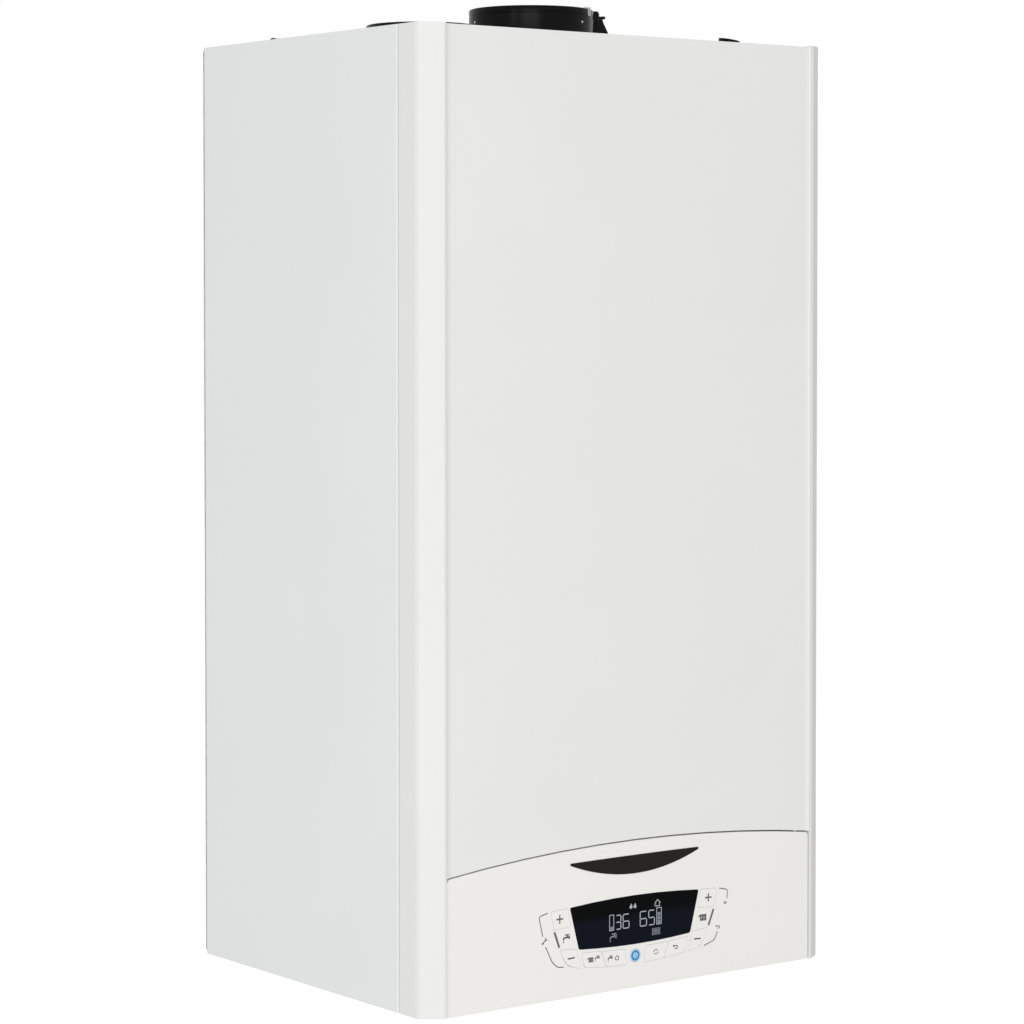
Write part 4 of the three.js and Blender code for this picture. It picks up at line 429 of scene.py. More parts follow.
def stroke(path: Sequence[Point], width: float) -> Outline:
    """Outline of a line of even width.

    Args:
        path: The line's points.
        width: The line's width.

    Returns:
        A closed outline, with mitred corners and square ends.
    """
    points = [Vector(p) for p in path]
    steps = [(b - a).normalized() for a, b in zip(points, points[1:])]
    left, right = [], []
    for i, point in enumerate(points):
        before, after = steps[max(i - 1, 0)], steps[min(i, len(steps) - 1)]
        along = (before + after).normalized()
        across = Vector((-along.y, along.x)) * (width / 2 / max(0.5, along.dot(before)))
        left.append(tuple(point + across))
        right.append(tuple(point - across))
    return left + right[::-1]


def ringed(shape: Outline, width: float) -> Outline:
    """Outline of an even band along the edge of a closed shape.

    Args:
        shape: The closed shape.
        width: The band's width.

    Returns:
        One outline, open by a hair in the middle of the first side.
    """
    first, second = Vector(shape[0]), Vector(shape[1])
    start, end = first.lerp(second, 0.5), first.lerp(second, 0.495)
    return stroke([tuple(start), *shape[1:], shape[0], tuple(end)], width)


def bar(x0: float, x1: float, y0: float, y1: float) -> Outline:
    """Outline of an upright rectangle between two corners."""
    return [(x0, y0), (x1, y0), (x1, y1), (x0, y1)]


def moved(
    outlines: Iterable[Outline], x: float, y: float, size: float = 1.0, turn: float = 0.0
) -> list[Outline]:
    """Place a sign that is drawn round its own centre.

    Args:
        outlines: The sign's outlines.
        x: Place across.
        y: Place up.
        size: Scale of the sign.
        turn: Turn in degrees, anticlockwise.

    Returns:
        The outlines in their place.
    """
    c, s = math.cos(math.radians(turn)) * size, math.sin(math.radians(turn)) * size
    return [[(x + px * c - py * s, y + px * s + py * c) for px, py in line] for line in outlines]


class Bench:
    """Modelling steps that the sub-assemblies share."""

    @staticmethod
    def clear() -> None:
        """Deselect everything."""
        bpy.ops.object.select_all(action="DESELECT")

    @staticmethod
    def take(*pieces: Piece) -> None:
        """Select these pieces alone, the first one active."""
        Bench.clear()
        for piece in pieces:
            piece.select_set(True)
        bpy.context.view_layer.objects.active = pieces[0]

    @staticmethod
    def settle(piece: Piece) -> None:
        """Put the piece's place, turn and scale into its mesh."""
        Bench.take(piece)
        bpy.ops.object.transform_apply(location=True, rotation=True, scale=True)

    @staticmethod
    def joined(name: str, pieces: Sequence[Piece]) -> Piece:
        """Join pieces into one.

        Args:
            name: Name of the result.
            pieces: Meshes to join.

        Returns:
            The joined piece.
        """
        Bench.take(*pieces)
        if len(pieces) > 1:
            bpy.ops.object.join()
        result = bpy.context.object
        result.name = name
        result.data.name = name
        return result

    @staticmethod
    def dressed(piece: Piece, finish: Finish, body: str, slot: str = "") -> None:
        """Give a piece its finish and its body.

        Args:
            piece: Finished mesh.
            finish: Finish that it takes.
            body: CAD body that it moves with.
            slot: The record's material slot, or "" for none. It is not used.
        """
        piece.data.materials.clear()
        piece.data.materials.append(finish.material())
        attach(piece, body)
        log.info("%s rides on %s", piece.name, body)

    @staticmethod
    def opened(piece: Piece) -> None:
        """Open a piece in edit mode with all of it selected.

        Args:
            piece: Piece to open.
        """
        Bench.take(piece)
        bpy.ops.object.mode_set(mode="EDIT")
        bpy.ops.mesh.select_all(action="SELECT")

    @staticmethod
    def closed(outwards: bool = True) -> None:
        """Merge the doubles of the open piece and leave edit mode.

        Args:
            outwards: Also turn the faces outwards.
        """
        bpy.ops.mesh.select_all(action="SELECT")
        bpy.ops.mesh.remove_doubles(threshold=MERGE_DISTANCE)
        if outwards:
            bpy.ops.mesh.normals_make_consistent(inside=False)
        bpy.ops.object.mode_set(mode="OBJECT")

    @staticmethod
    def placed(piece: Piece, at: Place, turn: Place = (0, 0, 0)) -> Piece:
        """Turn a piece and bring it to its place.

        Args:
            piece: Piece that lies at the origin.
            at: Place in millimetres.
            turn: Turn about X, Y and Z in degrees.

        Returns:
            The same piece.
        """
        piece.rotation_euler = [math.radians(a) for a in turn]
        piece.location = [v * MM for v in at]
        Bench.settle(piece)
        return piece

    @staticmethod
    def smoothed(piece: Piece, degrees: float = SMOOTH_ANGLE) -> Piece:
        """Shade a piece smooth wherever its faces meet at less than an angle.

        Args:
            piece: Piece to shade.
            degrees: The angle.

        Returns:
            The same piece.
        """
        Bench.take(piece)
        bpy.ops.object.shade_smooth_by_angle(angle=math.radians(degrees))
        return piece

    @staticmethod
    def eased(piece: Piece, width: float, segments: int = 2) -> Piece:
        """Round a piece's edges and shade it smooth.

        Args:
            piece: Closed mesh.
            width: Width of the rounding in millimetres.
            segments: Number of faces across it.

        Returns:
            The same piece.
        """
        Bench.take(piece)
        rounding = piece.modifiers.new("rounding", "BEVEL")
        rounding.width, rounding.segments = width * MM, segments
        rounding.limit_method, rounding.angle_limit = "ANGLE", math.radians(EDGE_ANGLE)
        bpy.ops.object.modifier_apply(modifier=rounding.name)
        return Bench.smoothed(piece)

    @staticmethod
    def turned(name: str, profile: Sequence[Point], steps: int = 64) -> Piece:
        """Turn a profile round the Z axis.

        Args:
            name: Name of the piece.
            profile: Radius and height of each corner in millimetres. It ends where it starts
                for a ring, and is closed flat at both ends otherwise.
            steps: Number of faces round the axis.

        Returns:
            The piece, at the origin.
        """
        ring = profile[0] == profile[-1]
        (radius, height), rest = profile[0], profile[1:]
        Bench.clear()
        fill = "NOTHING" if ring else "NGON"
        bpy.ops.mesh.primitive_circle_add(
            vertices=steps, radius=radius * MM, fill_type=fill, location=(0, 0, 0)
        )
        piece = bpy.context.object
        piece.name = piece.data.name = name
        Bench.opened(piece)
        bpy.ops.transform.translate(value=(0, 0, height * MM))
        for wide, high in rest:
            rise = (0, 0, (high - height) * MM)
            bpy.ops.mesh.extrude_region_move(TRANSFORM_OT_translate={"value": rise})
            share = wide / radius
            bpy.ops.transform.resize(value=(share, share, 1), center_override=(0, 0, high * MM))
            radius, height = wide, high
        Bench.closed()
        return piece

    @staticmethod
    def slab(name: str, outlines: Iterable[Outline], thickness: float) -> Piece:
        """Make flat shapes of one thickness that lie on the plane Z = 0.

        Args:
            name: Name of the piece.
            outlines: Closed outlines in millimetres.
            thickness: Thickness in metres.

        Returns:
            The piece, at the origin.
        """
        parts = []
        for outline in outlines:
            curve = bpy.data.curves.new(name, "CURVE")
            curve.dimensions, curve.fill_mode, curve.extrude = "2D", "BOTH", thickness / 2
            spline = curve.splines.new("POLY")
            spline.points.add(len(outline) - 1)
            for point, (x, y) in zip(spline.points, outline):
                point.co = (x * MM, y * MM, 0, 1)
            spline.use_cyclic_u = True
            part = bpy.data.objects.new(name, curve)
            bpy.context.scene.collection.objects.link(part)
            parts.append(part)
        Bench.take(*parts)
        bpy.ops.object.convert(target="MESH")
        piece = Bench.joined(name, parts)
        piece.location.z = thickness / 2
        Bench.settle(piece)
        Bench.opened(piece)
        Bench.closed()
        return piece

    @staticmethod
    def plate(name: str, outlines: Iterable[Outline], face: float, height: float = PRINT_HEIGHT) -> Piece:
        """Make a thin flat shape that lies on a face of the panel.

        Args:
            name: Name of the piece.
            outlines: Closed outlines in millimetres, across and up from the casing's lower edge.
            face: Y of the face that it lies on.
            height: How far it stands proud.

        Returns:
            The piece, in its place.
        """
        piece = Bench.slab(name, outlines, height)
        return Bench.placed(piece, (0, face / MM, CASE_FOOT / MM), (90, 0, 0))

    @staticmethod
    def spread(name: str, first: Piece, places: Sequence[Place], turn: Place = (0, 0, 0)) -> Piece:
        """Copy a piece to each place, each copy with a mesh of its own, and join the copies.

        Args:
            name: Name of the result.
            first: Piece at the origin, which is used up.
            places: Places in millimetres.
            turn: Turn of every copy in degrees.

        Returns:
            The joined copies.
        """
        copies = []
        for at in places:
            piece = first.copy()
            piece.data = first.data.copy()
            bpy.context.scene.collection.objects.link(piece)
            copies.append(Bench.placed(piece, at, turn))
        bpy.data.objects.remove(first)
        return Bench.joined(name, copies)

    @staticmethod
    def copy_of(node: Piece, name: str) -> Piece:
        """Copy a CAD node's mesh, merged, for a piece that takes its place.

        Args:
            node: CAD node.
            name: Name of the copy.

        Returns:
            The copy.
        """
        piece = bpy.data.objects.new(name, node.data.copy())
        piece.data.name = name
        bpy.context.scene.collection.objects.link(piece)
        Bench.opened(piece)
        Bench.closed(outwards=False)
        return piece


# ---------------------------------------------------------------- signs
class Signs:
    """Plain pictograms, drawn in millimetres round their own centre."""

    # radiator of four broad columns with its pipe, about 7 mm wide
    HEATER: list[Outline] = [
        *(bar(-2.6 + i * 1.7, -1.3 + i * 1.7, -2.7, 2.7) for i in range(4)),
        bar(-2.6, 3.8, -1.7, -1.2), bar(-2.6, 3.8, 1.2, 1.7),
        bar(-4.1, -2.6, 1.2, 2.2), bar(-4.1, -3.3, 0.4, 2.2),
    ]
    # open spanner, about 4 mm long
    SPANNER: list[Outline] = [
        bar(-2.2, 1.6, -0.5, 0.5),
        stroke(arc(2.6, 0, 1.1, 40, 320, 10), 0.8),
        arc(-2.6, 0, 0.9, 0, 330, 10),
    ]
    # arrow that turns back, about 4 mm wide
    RETURN_ARROW: list[Outline] = [
        stroke(rounded([(-1.6, 0.8), (1.6, 0.8), (1.6, -1.1), (-0.8, -1.1)], 0.8), 0.65),
        [(-2.7, 0.8), (-1.3, 1.9), (-1.3, -0.3)],
    ]
    # two arrows that follow each other round, about 4 mm wide
    CYCLE: list[Outline] = [
        stroke(arc(0, 0, 1.5, 20, 150), 0.45), stroke(arc(0, 0, 1.5, 200, 330), 0.45),
        [(-1.9, 0.9), (-0.8, 1.1), (-1.7, -0.2)], [(1.9, -0.9), (0.8, -1.1), (1.7, 0.2)],
    ]
    # flame, about 3 mm wide
    FLAME: list[Outline] = [[
        (0.1, 2.4), (-0.5, 1.3), (-1.4, 0.2), (-1.5, -1.0), (-0.8, -2.0),
        (0.8, -2.0), (1.5, -1.1), (1.4, 0.0), (0.9, 0.9), (0.6, 1.5),
    ]]

    @staticmethod
    def plus(arm: float, width: float) -> list[Outline]:
        """Draw a plus sign.

        Args:
            arm: Length of an arm.
            width: Width of an arm.

        Returns:
            Its outline.
        """
        a, w = arm, width / 2
        left = [(w, w), (w, a), (-w, a), (-w, w), (-a, w), (-a, -w), (-w, -w), (-w, -a)]
        return [[*left, (w, -a), (w, -w), (a, -w), (a, w)]]

    @staticmethod
    def minus(arm: float, width: float) -> list[Outline]:
        """Minus sign with this half length and width."""
        return [bar(-arm, arm, -width / 2, width / 2)]

    @staticmethod
    def tap(line: float = 1.15) -> list[Outline]:
        """Water tap with a drop, about 6.5 mm wide.

        Args:
            line: Width of its lines.

        Returns:
            Outlines of its parts.
        """
        spout = stroke(rounded([(-2.5, -1.3), (-2.5, 0.6), (3.2, 0.6)], 1.3), line * 1.15)
        stem = bar(0.5, 1.7, 1.0, 2.3)
        handle = bar(-1.0, 3.2, 2.2, 3.1)
        foot = bar(2.4, 3.5, -0.8, 1.8)
        drop = arc(-2.5, -2.6, 0.6, 0, 330, 10)
        return [spout, stem, handle, foot, drop]

    @staticmethod
    def radiator(columns: int = 5, line: float = 0.75) -> list[Outline]:
        """Panel radiator, about 6 mm wide.

        Args:
            columns: Number of columns.
            line: Width of a column.

        Returns:
            Outlines of its parts.
        """
        pitch = 1.2
        start = -pitch * (columns - 1) / 2
        places = [start + i * pitch for i in range(columns)]
        ribs = [bar(x - line / 2, x + line / 2, -2.4, 2.4) for x in places]
        end = places[-1]
        rails = [bar(start - 0.9, end + 0.9, y - 0.2, y + 0.2) for y in (-1.6, 1.6)]
        return ribs + rails

    @staticmethod
    def house(line: float = 0.5) -> list[Outline]:
        """House front, about 5 mm wide.

        Args:
            line: Width of its lines.

        Returns:
            Outlines of its parts.
        """
        walls = [(-1.6, 0.2), (-1.6, -2.0), (1.6, -2.0), (1.6, 0.2)]
        roof = [(-2.3, -0.1), (0, 2.0), (2.3, -0.1)]
        return [stroke(walls, line), stroke(roof, line)]


# ---------------------------------------------------------------- sub-assemblies
@dataclass
class PackedNodes:
    """The CAD nodes that keep their own mesh."""

    nodes: dict[str, Piece]

    def dress(self) -> None:
        """Give each node the finish of its material."""
        for finish, names in NODE_FINISHES.items():
            for name in names:
                self.nodes[name].data.materials.clear()
                self.nodes[name].data.materials.append(finish.material())
            log.info("%s on %s", finish.name, ", ".join(names))


@dataclass
class PanelPrint:
    """Lines and signs that are printed on the fascia round the keys."""

    line: float = 0.75
    bar_width: float = 1.8

    def brackets(self) -> list[Outline]:
        """Draw the lines that join each pair of keys to its sign.

        Returns:
            Their outlines.
        """
        paths = [
            ([(-86.1, 68.4), (-94.7, 66.4), (-91.0, 50.8)], 2.2),
            ([(-88.3, 42.5), (-81.8, 29.7), (-76.4, 25.2), (-70.7, 24.9)], 2.0),
            ([(86.2, 68.6), (94.8, 66.7), (94.4, 59.4)], 2.0),
            ([(84.4, 34.0), (81.2, 27.6), (70.4, 24.3)], 2.5),
        ]
        return [stroke(rounded(path, radius), self.line) for path, radius in paths]

    def bars(self) -> list[Outline]:
        """Slanted bar beside the sign of each pair."""
        paths = [[(-79.8, 52.9), (-75.0, 40.4)], [(80.2, 52.6), (75.0, 40.1)]]
        return [stroke(path, self.bar_width) for path in paths]

    def build(self) -> None:
        """Make the print and lay it on the fascia."""
        signs = [
            *moved(Signs.tap(), -68.4, 46.8, 1.02),
            *moved(Signs.HEATER, 68.9, 47.0, 1.0),
            *moved(Signs.SPANNER, -89.4, 46.8, 0.9, 42),
            *moved(Signs.radiator(3), 92.4, 56.3, 0.55, 90),
            *moved(Signs.RETURN_ARROW, 85.0, 37.6, 0.95),
        ]
        for name, outlines, finish in (
            ("print_lines", self.brackets(), PRINT_GREY),
            ("print_bars", self.bars(), BAR_GREY),
            ("print_signs", signs, PRINT_GREY),
        ):
            Bench.dressed(Bench.plate(name, outlines, FASCIA_FACE), finish, "control_panel")


@dataclass
class KeySigns:
    """Signs on the keys, each on the body of its own key, and the membrane round the keys."""

    arm: float = 3.4
    width: float = 1.15
    power_key: Point = (0.0, 25.2)
    seal_width: float = 0.62
    seal_face: float = FASCIA_FACE + 0.0005
    seal_height: float = 0.0004
    power_gap: float = 5.4  # radius of the gap round the on and off key
    halo_radius: float = 5.0
    halo_height: float = 0.00004
    ring_radius: float = 3.3
    ring_width: float = 2.0
    mark_height: float = 0.00006

    def drawings(self) -> dict[str, list[Outline]]:
        """Draw the sign of each key in its place on the panel.

        Returns:
            Outlines by the key's name.
        """
        small_tap = moved(Signs.tap(), -38.2, 27.7, 0.68)
        small_heater = moved(Signs.HEATER, -44.6, 27.2, 0.72)
        return {
            "key_hot_water_up": moved(Signs.plus(self.arm, self.width), -74.7, 62.4),
            "key_hot_water_down": moved(Signs.minus(self.arm, self.width), -63.6, 30.8, 1.0, 3),
            "key_heating_up": moved(Signs.plus(self.arm, self.width), 74.6, 62.5),
            "key_heating_down": moved(Signs.minus(self.arm, self.width), 63.3, 30.7, 1.0, -3),
            "key_mode": [*small_heater, *small_tap],
            "key_comfort": [
                *moved(Signs.tap(), -25.4, 25.9, 0.72), *moved(Signs.house(0.7), -18.4, 25.7, 0.85),
            ],
            "key_auto": moved(Signs.CYCLE, 20.8, 25.6, 1.25),
            "key_back": moved(Signs.RETURN_ARROW, 41.0, 26.9, 1.15),
        }

    def key_outlines(self) -> list[Outline]:
        """Draw the keys' edges, the right half first.

        Returns:
            Their outlines.
        """
        right = [
            [(67.2, 69.7), (83, 68.9), (80, 54.7), (64, 55.6)],
            [(59, 37.2), (74, 38.2), (71.2, 31.0), (68.6, 27.0), (66, 25), (62, 23.7), (54, 22)],
            [(34.2, 32.2), (53, 33.6), (51.4, 24.2), (50.3, 22.6), (48.4, 21.7), (29.6, 19.9)],
            [(11, 31.4), (33, 32.1), (28.4, 19.8), (9, 18.9)],
        ]
        return right + [[(-x, y) for x, y in outline] for outline in right]

    def seal(self) -> None:
        """Make the pale membrane that shows in the gaps round the keys."""
        rings = [ringed(self.grown(outline), self.seal_width) for outline in self.key_outlines()]
        rings.append(ringed(self.power_circle(self.power_gap), self.seal_width))
        piece = Bench.plate("key_membrane", rings, self.seal_face, self.seal_height)
        Bench.dressed(piece, KEY_MEMBRANE, "control_panel")

    @staticmethod
    def grown(outline: Outline, distance: float = 0.24) -> Outline:
        """Push each corner of a key's outline outwards to the middle of its gap.

        Args:
            outline: The key's edge.
            distance: Half of the gap.

        Returns:
            The outline of the gap's middle.
        """
        middle = sum((Vector(p) for p in outline), Vector((0, 0))) / len(outline)
        corners = [Vector(p) + (Vector(p) - middle).normalized() * distance for p in outline]
        return [(p.x, p.y) for p in corners]

    def power_circle(self, radius: float) -> Outline:
        """Circle of this radius round the on and off key."""
        return arc(*self.power_key, radius, 0, CIRCLE_END, 47)

    def power(self) -> None:
        """Make the halo, the lit ring and the sign of the on and off key."""
        x, y = self.power_key
        face = KEY_FACE - self.halo_height
        disc = self.power_circle(self.halo_radius)
        halo = Bench.plate("power_halo", [disc], KEY_FACE, self.halo_height)
        Bench.dressed(halo, HALO_LIGHT, "key_power")
        band = ringed(self.power_circle(self.ring_radius), self.ring_width)
        ring = Bench.plate("power_ring", [band], face, self.halo_height)
        Bench.dressed(ring, BLUE_LIGHT, "key_power", "power_key")
        loop = stroke(arc(x, y - 0.2, 1.35, -230, 50, 20), 0.6)
        stem = bar(x - 0.32, x + 0.32, y + 0.1, y + 1.7)
        mark = Bench.plate("power_mark", [loop, stem], face, self.mark_height)
        Bench.dressed(mark, BLUE_LIGHT, "key_power")

    def build(self) -> None:
        """Make every sign and lay it on its key."""
        for key, outlines in self.drawings().items():
            piece = Bench.plate(f"{key}_sign", outlines, KEY_FACE)
            Bench.dressed(piece, PRINT_GREY, key)
        self.power()
        self.seal()


@dataclass
class Display:
    """Lit figures and signs in the display window."""

    line: float = 0.82
    gap: float = 0.18

    def figure(self, shown: str, frame: Frame) -> list[Outline]:
        """Seven-part figure.

        Args:
            shown: Letters of the lit parts, a at the top, then clockwise, g in the middle.
            frame: The figure's sides.

        Returns:
            Outlines of the lit parts.
        """
        x0, x1, y0, y1 = frame
        g, middle = self.gap, (y0 + y1) / 2
        h = self.line / 2
        across = {"a": y1 - h, "g": middle, "d": y0 + h}
        upright = {
            "b": (x1 - h, middle, y1 - h), "c": (x1 - h, y0 + h, middle),
            "e": (x0 + h, y0 + h, middle), "f": (x0 + h, middle, y1 - h),
        }
        parts = {}
        for key, y in across.items():
            a, b = x0 + h + g, x1 - h - g
            parts[key] = [(a, y), (a + h, y + h), (b - h, y + h), (b, y), (b - h, y - h), (a + h, y - h)]
        for key, (x, low, high) in upright.items():
            a, b = low + g, high - g
            parts[key] = [(x, a), (x + h, a + h), (x + h, b - h), (x, b), (x - h, b - h), (x - h, a + h)]
        return [outline for key, outline in parts.items() if key in shown]

    def gauge(self, frame: Frame) -> list[Outline]:
        """Frame of an upright gauge.

        Args:
            frame: Its sides.

        Returns:
            Outlines of the four bars.
        """
        x0, x1, y0, y1 = frame
        w = self.line * 0.7
        sides = [bar(x0, x0 + w, y0, y1), bar(x1 - w, x1, y0, y1)]
        return sides + [bar(x0 + w, x1 - w, y1 - w, y1), bar(x0 + w, x1 - w, y0, y0 + w)]

    @staticmethod
    def cells(frame: Frame, filled: int, count: int = 4) -> list[Outline]:
        """Filled cells at the foot of a gauge.

        Args:
            frame: The gauge's sides.
            filled: Number of filled cells.
            count: Number of cells.

        Returns:
            Outlines of the filled cells.
        """
        x0, x1, y0, y1 = frame
        pitch = (y1 - y0 - 1) / count
        feet = [y0 + i * pitch for i in range(filled)]
        return [bar(x0 + 1.1, x1 - 1.1, foot + 0.8, foot + 0.4 + pitch) for foot in feet]

    def build(self) -> None:
        """Make the lit parts and lay them on the window."""
        left, right = (-26.1, -21.4, 47.3, 59.9), (21.2, 26.5, 47.0, 60.4)
        figures = {
            (-19.7, -14.2, 47.5, 59.2): "abcdg", (-12.8, -6.0, 47.5, 59.2): "acdefg",
            (4.4, 11.6, 47.1, 59.3): "acdefg", (13.0, 19.6, 47.1, 59.3): "acdfg",
        }
        lit = [
            *(part for frame, shown in figures.items() for part in self.figure(shown, frame)),
            *self.gauge(left), *self.gauge(right),
            *moved(Signs.FLAME, -4.4, 64.4, 0.95), *moved(Signs.FLAME, -0.4, 64.4, 0.95),
            *moved(Signs.house(0.55), 22.4, 64.2, 1.25),
        ]
        Bench.dressed(Bench.plate("display_figures", lit, KEY_FACE), SEGMENT_LIGHT, "control_panel")
        dim = [
            *self.cells(left, 1), *self.cells(right, 3), *moved(Signs.tap(0.9), -22.5, 42.0, 1.05),
            *moved(Signs.radiator(6, 0.7), 20.9, 41.8, 1.15), *moved(Signs.house(0.9), 19.9, 62.9, 0.45),
        ]
        Bench.dressed(Bench.plate("display_signs", dim, KEY_FACE), SEGMENT_DIM, "control_panel")


@dataclass
class NamePlate:
    """Bare dark insert on the fascia, and the bed that it lies on."""

    half: float = 64.2
    top: float = 104.2
    top_crown: float = 0.35
    foot: float = 102.3
    foot_crown: float = -12.3
    bed_margin: float = 1.4
    bed_height: float = 0.00003
    bed_top_crown: float = 1.9
    bed_foot_crown: float = -11.8
    height: float = 0.00027
    steps: int = 48

    def edge(self, height: float, crown: float, half: float) -> Outline:
        """Points of a shallow arch between the insert's tips."""
        places = [half * (2 * i / self.steps - 1) for i in range(self.steps + 1)]
        return [(x, height + crown * (1 - (x / half) ** 2)) for x in places]

    def outline(self, margin: float, top_crown: float, foot_crown: float) -> Outline:
        """Outline of the insert or of its bed.

        Args:
            margin: How far it reaches past the insert.
            top_crown: Rise of the upper edge.
            foot_crown: Rise of the lower edge.

        Returns:
            The closed outline, with eased tips.
        """
        half = self.half + margin
        upper = self.edge(self.top + margin, top_crown, half - 0.5)
        lower = self.edge(self.foot - margin, foot_crown, half - 0.6)
        high, low = self.top - 0.6, self.foot + 0.4
        return [*upper, (half, high), (half, low), *reversed(lower), (-half, low), (-half, high)]

    def build(self) -> None:
        """Make the bed and the insert."""
        shape = self.outline(self.bed_margin, self.bed_top_crown, self.bed_foot_crown)
        bed = Bench.plate("badge_bed", [shape], FASCIA_FACE, self.bed_height)
        Bench.dressed(bed, FASCIA_PLASTIC, "control_panel", "fascia_plastic")
        shape = self.outline(0, self.top_crown, self.foot_crown)
        insert = Bench.plate("badge_plate", [shape], FASCIA_FACE - self.bed_height, self.height)
        Bench.dressed(insert, BADGE_DARK, "control_panel")
        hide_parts("badge_insert")


@dataclass
class TopFittings:
    """Air collar with its test boss, intake cap, plug and screws, in millimetres."""

    plate: float = 45.0
    centre: Point = (0.0, -182.0)
    radius: float = 50.4
    bore: float = 46.9
    top: float = 73.3
    seat: float = 47.1
    boss_half: float = 18.0
    lug_circle: float = 58.0
    flange: float = 3.1
    rivet_height: float = 61.6
    cap_centre: Point = (-108.0, -182.0)
    cap_radius: float = 44.3
    cap_top: float = 55.0
    strap_thickness: float = 1.6
    plug_at: Point = (158.0, -244.0)
    plug_lean: Place = (0.797, -0.604, 0.0)  # direction that the plug's top slopes to
    plug_tilt: float = 0.16
    plug_upright: float = 0.987
    plug_cut: float = 53.7
    tongue_thickness: float = 2.0

    def collar(self) -> None:
        """Make the air collar with its flange, lugs, rolled rim and test boss."""
        r, top, seat = self.radius, self.top, self.seat
        profile = [
            (self.bore, 30), (49, 30), (49, seat), (58, seat), (58, seat + 2.4), (57.4, seat + 3),
            (52, seat + 3.2), (50.8, seat + 4), (r, seat + 5.5), (r, top - 6), (r - 0.35, top - 5.6),
            (r - 0.35, top - 4.9), (r, top - 4.5), (r, top - 1), (r - 0.4, top - 0.3), (r - 1.1, top),
            (self.bore + 0.8, top), (self.bore, top - 0.8), (self.bore, 30),
        ]
        ring = Bench.placed(Bench.turned("flue_collar_ring", profile, 128), (*self.centre, 0))
        side = [
            (48.2, seat), (72.6, seat), (71.8, seat + 2), (66.7, 56.4), (61.4, 65.3), (60.2, 68.2),
            (58.0, 70.6), (48.2, 71.6),
        ]
        boss = Bench.slab("collar_boss", [side], 2 * self.boss_half * MM)
        boss = Bench.placed(boss, (0, self.centre[1] + self.boss_half, 0), (90, 0, 0))
        boss = Bench.eased(boss, 1.2, 3)
        lug = Bench.turned("collar_lug", [(7, seat), (7, seat + 2.5), (6.4, seat + self.flange)], 32)
        lugs = Bench.spread("collar_lugs", lug, self.lug_places())
        collar = Bench.smoothed(Bench.joined("flue_collar_shell", [ring, boss, lugs]))
        Bench.dressed(collar, BLACK_GLOSS, "boiler_body", "black_gloss")
        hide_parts("flue_collar")

    def lug_places(self) -> list[tuple[float, float, float]]:
        """Places of the four lugs of the collar's flange."""
        return [(x, y, 0) for x, y in arc(*self.centre, self.lug_circle, 45, 315, 3)]

    def collar_parts(self) -> None:
        """Make the test cap, its strap, the spring clip, the lip seals and the collar's screws."""
        x, y = self.centre
        cap = Bench.turned(
            "test_cap", [(3.6, 60), (3.6, 71.4), (5.5, 71.6), (5.5, 72.6), (4.9, 73.3), (3.2, 73.8)], 40
        )
        cap = Bench.placed(Bench.smoothed(cap), (55.5, y, 0))
        strap = Bench.slab("cap_strap", [bar(50.5, 57.5, -16.5, -3)], self.strap_thickness * MM)
        strap = Bench.eased(Bench.placed(strap, (x, y, 71.2)), 0.5)
        knob = Bench.turned("strap_knob", [(3.6, 66), (3.6, 72.6), (3.0, 74.0), (1.8, 74.6)], 32)
        knob = Bench.placed(Bench.smoothed(knob), (x + 53.6, y - 15.4, 0))
        peg = Bench.turned("strap_peg", [(1.3, 0), (1.3, 5.2), (0.9, 5.8)], 20)
        peg = Bench.placed(Bench.smoothed(peg), (x + 57.4, y - 15.8, 69.2), (0, 85, -8))
        piece = Bench.joined("test_cap_moulding", [cap, strap, knob, peg])
        Bench.dressed(piece, BLACK_GLOSS, "boiler_body", "dark_plastic")
        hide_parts("test_point_cap")
        Bench.dressed(self.clip(), STEEL_SCREW, "boiler_body")
        lips = [
            (self.bore, 62), (44.9, 62.8), (44.6, 63.8), (46.2, 64.6), (44.9, 66), (44.6, 67),
            (46.2, 67.8), (self.bore, 69), (self.bore, 62),
        ]
        seal = Bench.placed(Bench.smoothed(Bench.turned("collar_seal", lips, 96)), (x, y, 0))
        Bench.dressed(seal, SEAL_RUBBER, "boiler_body")
        head = self.screw_head("collar_screws_head", 3.4, 2.2)
        places = [(px, py, self.seat + self.flange) for px, py, _ in self.lug_places()]
        screws = Bench.spread("collar_screws", head, places)
        Bench.dressed(screws, STEEL_SCREW, "boiler_body")

    def clip(self) -> Piece:
        """Make the spring clip that hooks over the collar's rim, and the two rivets beside it.

        Returns:
            Clip and rivets as one piece.
        """
        r, top = self.radius, self.top
        hook = [
            (r, top - 6), (r + 0.7, top - 6), (r + 0.7, top + 0.5), (r + 0.3, top + 1.1),
            (r - 4, top + 1.1), (r - 4, top), (r, top),
        ]
        parts = []
        for number, (angle, half) in enumerate(((-61.0, 0.8), (-57.5, 0.6))):
            piece = Bench.slab(f"clip_{number}", [hook], 2 * half * MM)
            Bench.placed(piece, (0, half, 0), (90, 0, 0))
            parts.append(Bench.placed(piece, (*self.centre, 0), (0, 0, angle)))
        for number, angle in enumerate((-72.7, -189.8)):
            rivet = Bench.turned(f"rivet_{number}", [(1.0, 0), (1.0, 0.3), (0.6, 0.6)], 20)
            at = (*arc(*self.centre, r, angle, angle, 1)[0], self.rivet_height)
            parts.append(Bench.placed(rivet, at, (0, 90, angle)))
        return Bench.smoothed(Bench.joined("collar_clip", parts))

